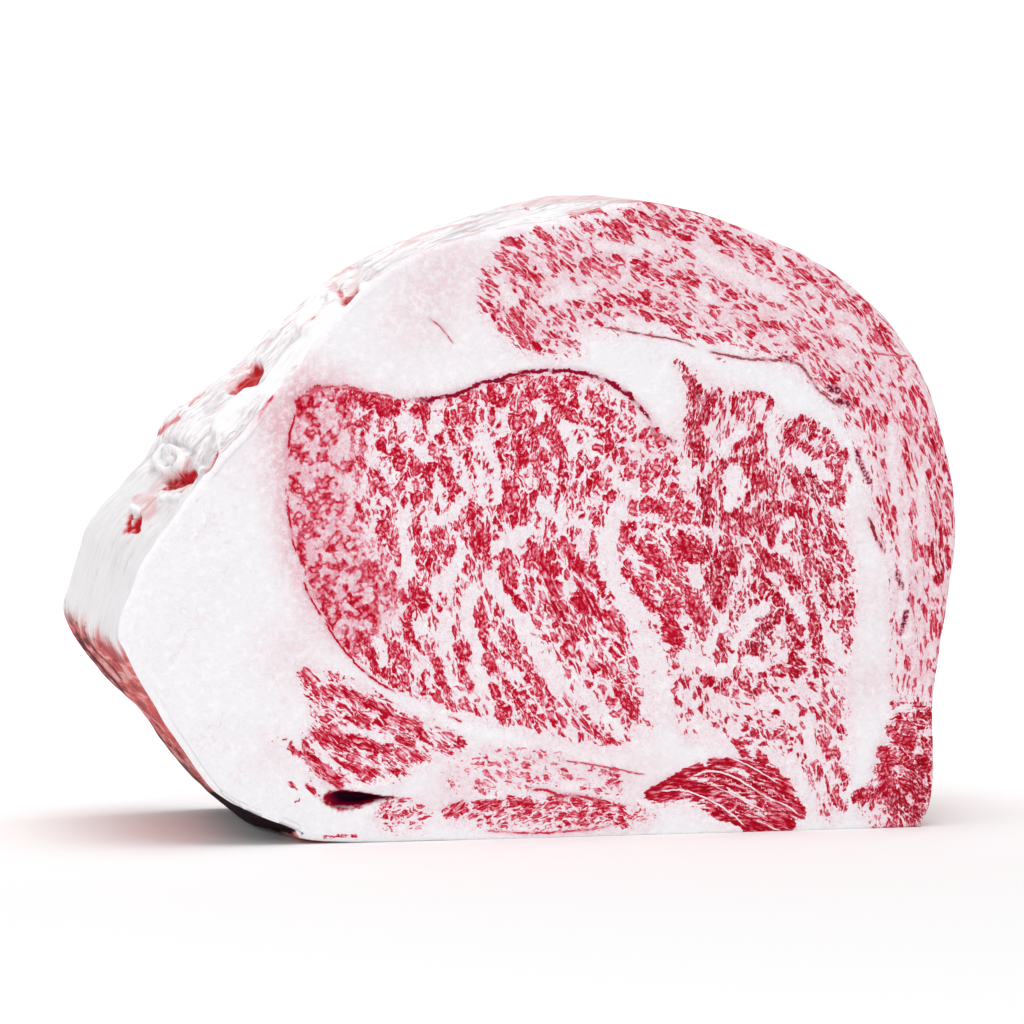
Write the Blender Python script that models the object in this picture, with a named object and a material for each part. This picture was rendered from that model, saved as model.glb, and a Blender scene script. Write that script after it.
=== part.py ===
"""A thick raw ribeye steak standing on its flat base: fat and seams, with each muscle that shows at the cut
as a solid of its own running from the front face to the back. Metres, +Z up, front face towards -Y."""

import math

import bmesh
import bpy
import numpy as np

MM = 0.001

# Driving dimensions, in metres.
THICKNESS = 90 * MM
EDGE_ROUND = 1.8 * MM
GAP = 0.3 * MM  # between a muscle and the fat round it
SWELL_DEPTH = 0.55  # share of the thickness over which the side reaches its full swell
RELIEF = 0.45 * MM  # how uneven the two cut faces are
GROOVE = 0.5 * MM  # how deep the folds along the outer side are
FOLDS = 4  # from front to back
FLAT_BASE = 3 * MM  # below this height the side has no folds
BACK_SHRINK = 0.97  # muscle outlines at the back face, against the front
BACK_TURN = math.radians(-2.5)
DRIFT_CENTRE = (-5 * MM, 72 * MM)
OVERRUN = 4.5 * MM  # how far a muscle's prism runs past both faces before it is trimmed

# How finely the solids are divided.
AROUND = 98
CAP_RINGS = 7
CAP_EASE = 0.9  # below 1, the rings of a cut face crowd towards its rim
RIM_STATIONS = [(0.3, 0.47), (1.0, 0.0)]  # shares of the edge's rounding: behind the face, inside the outline
DEPTH_STATIONS = 8
MUSCLE_STEP = 5.5 * MM

# The front face's outline, clockwise from the bottom left: x, z, and how far the side
# swells out behind that point. All outlines are in millimetres.
FACE_CENTRE = (5 * MM, 74 * MM)
FACE_OUTLINE = [
    (-57, 0.5, 1.5), (-67, 4.5, 4), (-84.5, 12, 0.5), (-93, 21.5, -3), (-102, 35.5, 2.2),
    (-109.8, 49.8, 5), (-111.6, 57, 1.8), (-105, 73.5, 2.8), (-91, 92.5, 1.2),
    (-83.8, 101.8, 4.6), (-75.4, 110.6, 2.5), (-58, 131.6, -1.2), (-48, 143, -1.8), (-27, 154, 0.2),
    (8, 161, 6.3), (27, 164.4, 3), (55, 157.2, 2), (82.5, 143, 3), (101, 122.3, 3),
    (109.3, 98.5, 1), (112, 78.5, 1), (109.2, 57, 2), (105.8, 33, 2), (106, 13, 2),
    (103, 1.8, 1), (94, -0.5, 0), (20, -1.5, 0),
]

# Each muscle's outline on the front face. Where it reaches the outer side it runs past it.
MUSCLES = {
    "eye_muscle": [
        (-63.8, 114), (-53, 117), (-39, 114), (-24, 115.2), (-9, 119), (6, 119.8), (20, 115),
        (31, 102), (36.8, 86), (36.5, 68), (32, 48), (29, 36), (26, 26), (13, 24.3), (-10, 30),
        (-38.5, 39), (-57, 56), (-67.5, 83), (-67.2, 102),
    ],
    "inner_muscle": [
        (36.5, 122.5), (46, 116), (59, 113.5), (64, 108), (73, 106.5), (81, 96), (80.2, 83.5),
        (83.5, 62), (80.5, 40), (81.8, 24), (79, 5), (75, 5.2), (70, 17), (58, 22.5),
        (41.6, 25.5), (37.5, 36), (39.5, 51), (43, 68), (42, 90), (38, 103), (40, 113),
    ],
    "cap_muscle": [
        (-17, 139), (-15.5, 148), (-8, 153.5), (13, 158), (24, 164), (42, 172), (88, 156),
        (116, 118), (122, 75), (115, 37), (97, 35.7), (95, 47), (95, 64), (88.5, 86.5),
        (83.5, 103), (72, 118), (53.6, 126.8), (25, 131.4), (8.5, 130.5), (9, 126),
        (0.6, 124.8), (-8, 127.7),
    ],
    "corner_muscle": [
        (97.7, 31), (107, 31.5), (117, 31), (119, 14), (116, -6), (92, -6), (88.5, 2), (84.7, 7),
        (90, 14), (93.5, 26),
    ],
    "base_muscle": [
        (27, 9.7), (40, 16.3), (52.5, 19.3), (63, 16), (69.3, 6), (64, 1.8), (52, 2.4), (38, 7.7),
    ],
    "rib_muscle": [
        (-64, 43.5), (-54, 42), (-40, 34.8), (-22.5, 25), (-33, 21.2), (-43, 17), (-58, 16.5),
        (-63.3, 24), (-60.5, 34),
    ],
    "strip_muscle": [(-26.5, 7), (-14, 9.5), (12, 9.6), (28.5, 4.4), (14.6, 2.5), (-12, 3.2)],
    "flecked_muscle": [(-24.5, 18.5), (-13.4, 22.6), (3, 20.8), (21.5, 13.6), (1.2, 14), (-20, 13)],
    "small_muscle": [(-44.5, 7), (-39, 10), (-32, 8), (-34, 4.6), (-41, 4.3)],
}

# Torn spots: where each lies on the surface, its half sizes along the outline, through the
# thickness and inwards, all in millimetres, and how steeply the surface rises there, in degrees.
TORN_SPOTS = {
    "face_pit": ((-49, -45, 11.8), (9.5, 5, 2.9), 0),
    "long_gash": ((-69.7, 18, 120), (8.5, 3.4, 3.4), 42),
    "upper_notch": ((-49.4, -26, 141.6), (6, 3.2, 2.6), 42),
    "swirl_pit": ((-92, -2, 93), (6.5, 5.5, 3.2), 56),
    "rim_notch": ((-86.6, -42, 97.6), (4, 2.4, 2.5), 58),
    "red_hole": ((-102, -2.5, 81.6), (4, 3.4, 3.2), 52),
}

LOOKS = {  # colour, roughness
    "fat": ((0.86, 0.83, 0.84), 0.45),
    "eye_muscle": ((0.56, 0.10, 0.14), 0.38),
    "inner_muscle": ((0.52, 0.08, 0.12), 0.38),
    "cap_muscle": ((0.62, 0.16, 0.20), 0.38),
    "corner_muscle": ((0.36, 0.015, 0.04), 0.35),
    "base_muscle": ((0.45, 0.05, 0.08), 0.36),
    "rib_muscle": ((0.52, 0.08, 0.12), 0.38),
    "strip_muscle": ((0.55, 0.10, 0.14), 0.38),
    "flecked_muscle": ((0.66, 0.24, 0.28), 0.40),
    "small_muscle": ((0.58, 0.12, 0.16), 0.38),
}


def smooth_loop(points, fine=24):
    """A closed Catmull-Rom curve through the points, as many short straight steps."""
    p = np.array(points, float)
    before, after, beyond = np.roll(p, 1, 0), np.roll(p, -1, 0), np.roll(p, -2, 0)
    steps = []
    for u in np.arange(fine) / fine:
        steps.append(0.5 * (
            2 * p + (after - before) * u
            + (2 * before - 5 * p + 4 * after - beyond) * u**2
            + (3 * p - before - 3 * after + beyond) * u**3
        ))
    return np.stack(steps, 1).reshape(-1, p.shape[1])


def even_loop(points, count):
    """The same closed line with its points evenly spaced along it."""
    closed = np.vstack([points, points[:1]])
    length = np.hypot(*np.diff(closed[:, :2], axis=0).T)
    along = np.concatenate([[0], np.cumsum(length)])
    wanted = np.arange(count) / count * along[-1]
    return np.stack([np.interp(wanted, along, column) for column in closed.T], 1)


def outward(loop):
    """The unit direction out of a clockwise loop at each point."""
    along = np.roll(loop[:, :2], -1, 0) - np.roll(loop[:, :2], 1, 0)
    along /= np.linalg.norm(along, axis=1, keepdims=True)
    return np.stack([-along[:, 1], along[:, 0]], 1)


def face_relief(x, z):
    """Slight waves on a cut face, between -1 and 1."""
    return (
        0.5 * np.sin(x / (11 * MM) + 1.3 * np.sin(z / (17 * MM)))
        + 0.3 * np.sin(z / (7 * MM) + x / (19 * MM))
        + 0.2 * np.sin(x / (5 * MM) - z / (6 * MM))
    )


def side_folds(x, z, depth):
    """Folds of the outer fat that run along the outline, strongest at mid-thickness, between -1 and 0."""
    wander = 0.06 * np.sin(x / (21 * MM)) + 0.04 * np.sin(z / (13 * MM))
    wave = 0.5 + 0.5 * np.sin((depth + wander) * 2 * math.pi * FOLDS)
    return -wave * math.sin(math.pi * depth)


def body_mesh():
    """The whole block: the outline lofted from front to back, with a ringed cap at each end."""
    outline = even_loop(smooth_loop(FACE_OUTLINE), AROUND) * MM
    loop, swell, out = outline[:, :2], outline[:, 2], outward(outline)
    bm = bmesh.new()

    def ring(points, y):
        raised = np.maximum(points[:, 1], 0)  # the base is flat
        return [bm.verts.new((x, y + dy, z)) for x, z, dy in zip(points[:, 0], raised, relief_of(points, y))]

    def relief_of(points, y):
        if abs(y) < THICKNESS / 2 - 1e-9:
            return np.zeros(len(points))
        return math.copysign(RELIEF, y) * (face_relief(*points.T) if y < 0 else face_relief(*-points.T))

    def bridge(first, second):
        for i in range(AROUND):
            j = (i + 1) % AROUND
            bm.faces.new((first[i], first[j], second[j], second[i]))

    def cap(edge_loop, y):
        rims = [edge_loop + (FACE_CENTRE - edge_loop) * (k / CAP_RINGS) ** CAP_EASE for k in range(CAP_RINGS)]
        rings = [ring(points, y) for points in rims]
        centre = bm.verts.new((FACE_CENTRE[0], y, FACE_CENTRE[1]))
        return rings, centre

    def side(depth):
        eased = math.sin(min(depth / SWELL_DEPTH, 1) * math.pi / 2)
        folds = GROOVE * side_folds(loop[:, 0], loop[:, 1], depth)
        folds[loop[:, 1] < FLAT_BASE] = 0
        return loop + out * (swell * eased + folds)[:, None]

    half = THICKNESS / 2
    front_rings, front_centre = cap(side(0) - out * EDGE_ROUND, -half)
    back_rings, back_centre = cap(side(1) - out * EDGE_ROUND, half)
    stations = [ring(side(0) - out * EDGE_ROUND * inset, -half + EDGE_ROUND * deep) for deep, inset in RIM_STATIONS]
    for k in range(1, DEPTH_STATIONS):
        depth = k / DEPTH_STATIONS
        stations.append(ring(side(depth), -half + depth * THICKNESS))
    for deep, inset in reversed(RIM_STATIONS):
        stations.append(ring(side(1) - out * EDGE_ROUND * inset, half - EDGE_ROUND * deep))
    rings = list(reversed(front_rings)) + stations + back_rings
    for first, second in zip(rings, rings[1:]):
        bridge(first, second)
    for i in range(AROUND):
        j = (i + 1) % AROUND
        bm.faces.new((front_rings[-1][j], front_rings[-1][i], front_centre))
        bm.faces.new((back_rings[-1][i], back_rings[-1][j], back_centre))
    bmesh.ops.triangulate(bm, faces=bm.faces)
    return finished_mesh("block", bm)


def finished_mesh(name, bm):
    bmesh.ops.recalc_face_normals(bm, faces=bm.faces)
    mesh = bpy.data.meshes.new(name)
    bm.to_mesh(mesh)
    bm.free()
    return mesh


def drifted(loop, y):
    """The outline at this depth: towards the back every muscle draws in and turns a little."""
    depth = y / THICKNESS + 0.5
    turn, size = BACK_TURN * depth, 1 + (BACK_SHRINK - 1) * depth
    cos, sin = size * math.cos(turn), size * math.sin(turn)
    offset = loop - DRIFT_CENTRE
    return offset @ np.array([[cos, sin], [-sin, cos]]) + DRIFT_CENTRE


def muscle_mesh(name, grow):
    """A muscle from before the front face to behind the back face, its outline grown by this much."""
    curve = smooth_loop(MUSCLES[name]) * MM
    length = np.hypot(*(np.roll(curve, -1, 0) - curve).T).sum()
    loop = even_loop(curve, max(16, round(length / MUSCLE_STEP)))
    loop = loop + outward(loop) * grow
    bm = bmesh.new()
    ends = []
    for y in (-THICKNESS / 2 - OVERRUN, THICKNESS / 2 + OVERRUN):
        ends.append([bm.verts.new((x, y, z)) for x, z in drifted(loop, y)])
    for i in range(len(loop)):
        j = (i + 1) % len(loop)
        bm.faces.new((ends[0][i], ends[0][j], ends[1][j], ends[1][i]))
    bm.faces.new(ends[0])
    bm.faces.new(ends[1])
    bmesh.ops.triangulate(bm, faces=[f for f in bm.faces if len(f.verts) > 4])
    return finished_mesh(name, bm)


def material(name):
    colour, roughness = LOOKS[name]
    made = bpy.data.materials.new(name)
    made.use_nodes = True
    shader = made.node_tree.nodes["Principled BSDF"]
    shader.inputs["Base Color"].default_value = (*colour, 1)
    shader.inputs["Roughness"].default_value = roughness
    return made


def add_object(name, mesh, collection):
    made = bpy.data.objects.new(name, mesh)
    collection.objects.link(made)
    return made


def add_helper(name, mesh, collection):
    made = add_object(name, mesh, collection)
    made.hide_render = True
    made.display_type = "WIRE"
    return made


def cut(target, tool, operation):
    modifier = target.modifiers.new(operation.lower() + "_" + tool.name, "BOOLEAN")
    modifier.object = tool
    modifier.operation = operation


def torn_spot(name, collection):
    centre, half_sizes, slope = TORN_SPOTS[name]
    bm = bmesh.new()
    bmesh.ops.create_uvsphere(bm, u_segments=12, v_segments=8, radius=1)
    bmesh.ops.scale(bm, verts=bm.verts, vec=[size * MM for size in half_sizes])
    spot = add_helper(name, finished_mesh(name, bm), collection)
    spot.location = [c * MM for c in centre]
    spot.rotation_euler.y = -math.radians(slope)
    return spot


def main():
    for old in list(bpy.data.objects):
        bpy.data.objects.remove(old)
    steak = bpy.data.collections.new("raw_ribeye_steak")
    cutters = bpy.data.collections.new("cutters")
    for collection in (steak, cutters):
        bpy.context.scene.collection.children.link(collection)

    block = body_mesh()
    fat = add_object("fat", block, steak)
    fat.data.materials.append(material("fat"))
    for name in MUSCLES:
        cut(fat, add_helper("room_for_" + name, muscle_mesh(name, GAP / 2), cutters), "DIFFERENCE")
        muscle = add_object(name, muscle_mesh(name, -GAP / 2), steak)
        muscle.data.materials.append(material(name))
        cut(muscle, add_helper("block_for_" + name, block, cutters), "INTERSECT")
    for name in TORN_SPOTS:
        cut(fat, torn_spot(name, cutters), "DIFFERENCE")


main()
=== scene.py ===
import math

import bpy
import numpy as np
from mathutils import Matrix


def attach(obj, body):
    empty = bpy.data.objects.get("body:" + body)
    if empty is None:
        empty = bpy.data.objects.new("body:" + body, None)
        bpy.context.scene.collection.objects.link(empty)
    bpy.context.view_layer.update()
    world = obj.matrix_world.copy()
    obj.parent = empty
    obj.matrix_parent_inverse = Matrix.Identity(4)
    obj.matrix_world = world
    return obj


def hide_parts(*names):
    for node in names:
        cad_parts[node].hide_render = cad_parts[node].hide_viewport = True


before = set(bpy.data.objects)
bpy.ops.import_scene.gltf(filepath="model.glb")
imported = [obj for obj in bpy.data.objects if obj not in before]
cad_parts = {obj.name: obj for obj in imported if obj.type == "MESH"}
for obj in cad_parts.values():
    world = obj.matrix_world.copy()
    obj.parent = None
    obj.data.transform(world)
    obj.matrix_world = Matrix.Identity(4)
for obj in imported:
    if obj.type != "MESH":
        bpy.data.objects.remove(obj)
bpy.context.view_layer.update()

mm = 0.001  # shapes are worked out in millimetres and turned into metres as the mesh is made
noiseTable = np.random.default_rng(7).uniform(-1, 1, 4096)
latticePrimes = (73856093, 19349663, 83492791)  # they scatter the noise table's values over a lattice


# The camera comes first, because marks on the cut face are placed by photo pixels.

cameraSetup = {
    "azimuth": -14,  # degrees; 0 looks along +Y, minus is from the left
    "elevation": 3,
    "distance": 1400,  # mm from the target
    "target": (2.3, 0, 82.2),
    "focalPixels": 5250,
    "framePixels": 1024,
    "sensorWidth": 36,  # mm
}

steakShape = {
    "thickness": 90,  # front face to back face, mm as everything here
    "edgeRound": 1.6,
    "edgeAngles": (30, 60, 90),  # degrees: the rings of the rounded rim
    "swellDepth": 0.55,  # share of the thickness over which the side reaches its full swell
    "backShrink": 0.97,  # size of the back face against the front
    "backTurn": -2.5,  # degrees
    "driftCentre": (-5, 72),
    "raggedRim": 0.9,  # wobble of the outline at the torn fat
    "wavyRim": 0.25,  # and everywhere
    "frontCells": (220, 194),  # across and up; the back has half as many
    "fineColumns": 300,  # columns of the left side and the top, which show; the others are twice as wide
    "sideRows": 74,
    # where the four edges of the front grid meet: bottom left, top left, top right, bottom right
    "corners": [(-66, 4), (-62, 128), (84, 142), (104, 2)],
    # front outline, clockwise from the bottom left: x, z, and how far the side swells behind it
    "outline": [
        (-57, 0.5, 1.5), (-67, 4.5, 6.4), (-84.5, 12, -1), (-93, 21.5, -1.9), (-102, 35.5, 2.4),
        (-109.8, 49.8, 4.2), (-111.6, 57, 1), (-105, 73.5, 2.8), (-91, 92.5, 1.2),
        (-83.8, 101.8, 4.6), (-75.4, 110.6, 2.5), (-58, 131.6, -1.2), (-48, 143, -1.8), (-27, 154, 0.2),
        (8, 161, 6.3), (27, 164.4, 3), (55, 157.2, 2), (82.5, 143, 3), (101, 122.3, 3),
        (109.3, 98.5, 1), (112, 78.5, 1), (109.2, 57, 2), (105.8, 33, 2), (106, 13, 2),
        (103, 1.8, 1), (94, -0.5, 0), (20, -1.5, 0),
    ],
}
kinds = {"front": 0, "side": 1, "back": 2}  # what part of the skin a vertex is on


def cameraAxes():
    a, e = math.radians(cameraSetup["azimuth"]), math.radians(cameraSetup["elevation"])
    back = np.array([math.sin(a) * math.cos(e), -math.cos(a) * math.cos(e), math.sin(e)])
    right = np.array([math.cos(a), math.sin(a), 0])
    return right, np.cross(back, right), back


def photoToFace(pixels):  # follows each pixel's ray to the plane of the front face: x and z in mm
    right, up, back = cameraAxes()
    p = (np.array(pixels, float) - cameraSetup["framePixels"] / 2) / cameraSetup["focalPixels"]
    ray = p[..., :1] * right - p[..., 1:2] * up - back
    eye = np.array(cameraSetup["target"]) + back * cameraSetup["distance"]
    reach = (-steakShape["thickness"] / 2 - eye[1]) / ray[..., 1]
    return (eye + ray * reach[..., None])[..., [0, 2]]


def photoPixels(places):  # where places in mm show in the photo
    right, up, back = cameraAxes()
    ray = places - np.array(cameraSetup["target"]) - back * cameraSetup["distance"]
    screen = np.stack([ray @ right, -(ray @ up)], 1) / -(ray @ back)[:, None]
    return cameraSetup["framePixels"] / 2 + cameraSetup["focalPixels"] * screen


pixelSize = float(np.hypot(*np.diff(photoToFace([(500, 500), (600, 500)]), axis=0)[0])) / 100


# Curves, distances and soft noise

def splineSteps(before, here, after, beyond, fine):  # Catmull-Rom curve from here to after, in fine steps
    u = (np.arange(fine) / fine)[None, :, None]
    return 0.5 * (
        2 * here + (after - before) * u
        + (2 * before - 5 * here + 4 * after - beyond) * u**2
        + (3 * here - before - 3 * after + beyond) * u**3
    )


def smoothLoop(points, fine=24):  # the curve through a closed row of points
    p = np.array(points, float)[:, None]
    curve = splineSteps(np.roll(p, 1, 0), p, np.roll(p, -1, 0), np.roll(p, -2, 0), fine)
    return curve.reshape(-1, curve.shape[-1])


def smoothLine(points, fine=8):  # the same through an open row of points
    p = np.array(points, float)
    q = np.vstack([2 * p[:1] - p[1:2], p, 2 * p[-1:] - p[-2:-1]])[:, None]
    curve = splineSteps(q[:-3], q[1:-2], q[2:-1], q[3:], fine)
    return np.vstack([curve.reshape(-1, p.shape[1]), p[-1:]])


def outwardOf(loop):  # unit normals of a clockwise loop
    along = np.roll(loop[:, :2], -1, 0) - np.roll(loop[:, :2], 1, 0)
    along /= np.linalg.norm(along, axis=1, keepdims=True)
    return np.stack([-along[:, 1], along[:, 0]], 1)


def distancesAlong(curve):  # how far along an open curve each of its points is
    return np.concatenate([[0], np.cumsum(np.hypot(*np.diff(curve[:, :2], axis=0).T))])


def nearestOnLine(points, line, chunk=8192):  # each point's signed distance to the line, and how far along
    a, b = line[:-1], line[1:]
    step = b - a
    length = np.hypot(*step.T)
    start = distancesAlong(line)[:-1]
    signed, along = np.empty(len(points)), np.empty(len(points))
    for first in range(0, len(points), chunk):
        p = points[first : first + chunk, None] - a
        share = np.clip((p * step).sum(2) / length**2, 0, 1)
        away = p - share[..., None] * step
        distance = np.hypot(away[..., 0], away[..., 1])
        pick = np.arange(len(p)), distance.argmin(1)
        side = np.sign(step[:, 0] * p[..., 1] - step[:, 1] * p[..., 0])
        signed[first : first + chunk] = (distance * side)[pick]
        along[first : first + chunk] = (start + share * length)[pick]
    return signed, along


def insideLoop(points, loop):  # even-odd rule
    x, z = points[:, :1], points[:, 1:]
    a, b = loop, np.roll(loop, -1, 0)
    crosses = (a[:, 1] > z) != (b[:, 1] > z)
    rise = b[:, 1] - a[:, 1]
    reach = (b[:, 0] - a[:, 0]) * (z - a[:, 1]) / np.where(rise == 0, 1, rise) + a[:, 0]
    return (crosses & (x < reach)).sum(1) % 2 == 1


def depthInside(points, loop):  # mm inside the loop, below zero outside
    distance = np.abs(nearestOnLine(points, np.vstack([loop, loop[:1]]))[0])
    return np.where(insideLoop(points, loop), distance, -distance)


def smoothStep(low, high, value):
    t = np.clip((value - low) / (high - low), 0, 1)
    return t * t * (3 - 2 * t)


def softNoise(p, size, seed):  # random lattice values mixed smoothly: -1 to 1
    q = np.asarray(p, float) / size + 19.7 * seed
    cell = np.floor(q).astype(np.int64)
    f = q - cell
    w = f * f * (3 - 2 * f)
    total = 0
    for corner in range(2 ** q.shape[1]):
        bits = np.array([(corner >> k) & 1 for k in range(q.shape[1])])
        share = np.prod(np.where(bits, w, 1 - w), axis=1)
        mixed = (cell + bits) @ np.array(latticePrimes[: q.shape[1]])
        total = total + share * noiseTable[(mixed ^ (mixed >> 13)) % len(noiseTable)]
    return total


def roughNoise(p, size, seed, octaves=3):  # softNoise at halving sizes and strengths
    return sum(softNoise(p, size / 2**k, seed + k) / 2**k for k in range(octaves)) / 1.6


# The skin of the steak: front patch, rounded rim, side band, rim, back patch

def evenPoints(curve, start, end, count):  # evenly spaced points of a closed curve, from start towards end
    first = np.argmin(np.hypot(*(curve[:, :2] - start).T))
    last = np.argmin(np.hypot(*(curve[:, :2] - end).T))
    stretch = curve[first : last + 1] if first < last else np.vstack([curve[first:], curve[: last + 1]])
    along = distancesAlong(stretch)
    wanted = np.arange(count) / count * along[-1]
    return np.stack([np.interp(wanted, along, column) for column in stretch.T], 1)


def rimLoop():  # x, z and swell, clockwise from the bottom left corner of the grid
    curve = smoothLoop(steakShape["outline"])
    corners = steakShape["corners"]
    across, up = steakShape["frontCells"]
    counts = (up, across, up, across)
    loop = np.vstack([evenPoints(curve, corners[k], corners[(k + 1) % 4], counts[k]) for k in range(4)])
    x, z = loop[:, :2].T
    torn = smoothStep(-10, -50, x) * smoothStep(40, 75, z)
    wobble = steakShape["raggedRim"] * roughNoise(loop[:, :2], 9, 12, 3) * torn
    wobble += steakShape["wavyRim"] * roughNoise(loop[:, :2], 6, 14, 2)
    loop[:, :2] += outwardOf(loop) * wobble[:, None]
    return loop


def patchInside(loop, across, up):  # Coons patch: the loop's four edges blended over a grid
    left = loop[: up + 1]
    top = loop[up : up + across + 1]
    right = loop[up + across : 2 * up + across + 1][::-1]
    bottom = np.vstack([loop[2 * up + across :], loop[:1]])[::-1]
    u = (np.arange(across + 1) / across)[None, :, None]
    v = (np.arange(up + 1) / up)[:, None, None]
    ruled = (1 - v) * bottom[None] + v * top[None] + (1 - u) * left[:, None] + u * right[:, None]
    low = (1 - u) * bottom[0] + u * bottom[-1]
    high = (1 - u) * top[0] + u * top[-1]
    return ruled - (1 - v) * low - v * high


def gridEdge(grid):  # the grid's border, clockwise from the bottom left
    return np.concatenate([grid[:-1, 0], grid[-1, :-1], grid[:0:-1, -1], grid[0, :0:-1]])


def facesOfGrid(grid):
    return np.stack([grid[:-1, :-1], grid[:-1, 1:], grid[1:, 1:], grid[1:, :-1]], -1).reshape(-1, 4)


def facesJoining(full, kept, used):  # joins a ring to the next, which keeps only the points marked in used
    here = np.flatnonzero(used)
    after = np.roll(here, -1)
    plain = (after - here) % len(full) == 1
    middle = (here + 1) % len(full)
    inner, nextInner = kept, np.roll(kept, -1)
    quads = np.stack([full[here], full[after], nextInner, inner], -1)[plain]
    a, b, c, d, e = (p[~plain] for p in (full[here], full[middle], full[after], inner, nextInner))
    return quads, np.concatenate([np.stack(t, -1) for t in ((a, b, d), (b, e, d), (b, c, e))])


def drifted(section, share):  # the cross-section turns and shrinks a little towards the back
    turn = np.radians(steakShape["backTurn"]) * share
    size = 1 + (steakShape["backShrink"] - 1) * share
    centre = np.array(steakShape["driftCentre"], float)
    x, z = (section - centre).T
    turned = np.stack([x * np.cos(turn) - z * np.sin(turn), x * np.sin(turn) + z * np.cos(turn)], 1)
    return turned * size[:, None] + centre


class Skin:  # the steak's skin: arrays with one row a vertex, and its faces
    columns = ("section", "depth", "girth", "outward", "kind")

    def __init__(self):
        self.parts = []
        self.count = 0

    def add(self, section, depth, girth, outward, kind):  # returns the new vertices' numbers
        n = len(section)
        self.parts.append((section, np.full(n, float(depth)), girth, outward, np.full(n, kinds[kind])))
        self.count += n
        return np.arange(self.count - n, self.count)

    def addPatch(self, rim, depth, cells, kind):  # fills the rim with a grid
        section = patchInside(rim, *cells).reshape(-1, 2)
        ids = self.add(section, depth, np.zeros(len(section)), np.zeros((len(section), 2)), kind)
        return ids.reshape(cells[1] + 1, cells[0] + 1)

    def join(self):
        for name, arrays in zip(self.columns, zip(*self.parts)):
            setattr(self, name, np.concatenate(arrays))


def girthOf(loop):  # distance around the loop; its jump is on the underside
    length = distancesAlong(np.vstack([loop, loop[:1]]))
    under = np.argmin(np.hypot(loop[:, 0] - 20, loop[:, 1]))
    return (length[:-1] - length[under]) % length[-1], length[-1]


def sideRings():  # depth and inset of the rings: rounded rim, plain side, rounded rim
    s = steakShape
    bend = [math.radians(a) for a in s["edgeAngles"]]
    rim = [(s["edgeRound"] * (1 - math.cos(a)), s["edgeRound"] * (1 - math.sin(a))) for a in bend]
    depths = np.linspace(rim[-1][0], s["thickness"] - rim[-1][0], s["sideRows"])[1:-1]
    return rim + [(d, 0) for d in depths] + [(s["thickness"] - d, inset) for d, inset in rim[::-1]]


def buildSkin():
    s = steakShape
    across, up = s["frontCells"]
    loop = rimLoop()
    outward = outwardOf(loop)
    girth, girthAll = girthOf(loop)
    number = np.arange(len(loop))
    everywhere = np.ones(len(loop), bool)
    backUsed = number % 2 == 0
    sideUsed = (number < s["fineColumns"]) | backUsed

    def ringAt(depth, inset, used):  # the side's swell eases in behind the front edge
        swell = loop[used, 2] * np.sin(np.minimum(depth / s["thickness"] / s["swellDepth"], 1) * np.pi / 2)
        return loop[used, :2] + outward[used] * (swell - inset)[:, None]

    skin = Skin()
    ids = skin.addPatch(ringAt(0, s["edgeRound"], everywhere), 0, (across, up), "front")
    last, used = gridEdge(ids), everywhere
    quads, triangles = [facesOfGrid(ids)], []
    for k, (depth, inset) in enumerate(sideRings()):
        keep = everywhere if k == 0 else sideUsed
        ring = skin.add(ringAt(depth, inset, keep), depth, girth[keep], outward[keep], "side")
        q, t = facesJoining(last, ring, keep[used])
        quads.append(q)
        triangles.append(t)
        last, used = ring, keep
    backRim = ringAt(s["thickness"], s["edgeRound"], backUsed)
    ids = skin.addPatch(backRim, s["thickness"], (across // 2, up // 2), "back")
    q, t = facesJoining(last, gridEdge(ids), backUsed[used])
    skin.join()
    skin.quads = np.concatenate(quads + [q, facesOfGrid(ids)[:, ::-1]])
    skin.triangles = np.concatenate(triangles + [t])
    skin.girthAll = girthAll
    return skin


skin = buildSkin()
print("skin:", len(skin.section), "vertices,", 2 * len(skin.quads) + len(skin.triangles), "triangles")


# The muscles, as part.py has them: outlines in mm on the front face.
# grain: width and length of a bundle of fibres in mm. meat: how much of it is lean. deep: how dark.
# net: how lacy. hatch: how straight its fine strokes are. soft: how frayed its border is.
# ground: how pink the fat in it is.
# fibres: photo pixels with the fibres' lean from upright in degrees, clockwise, there.

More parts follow.
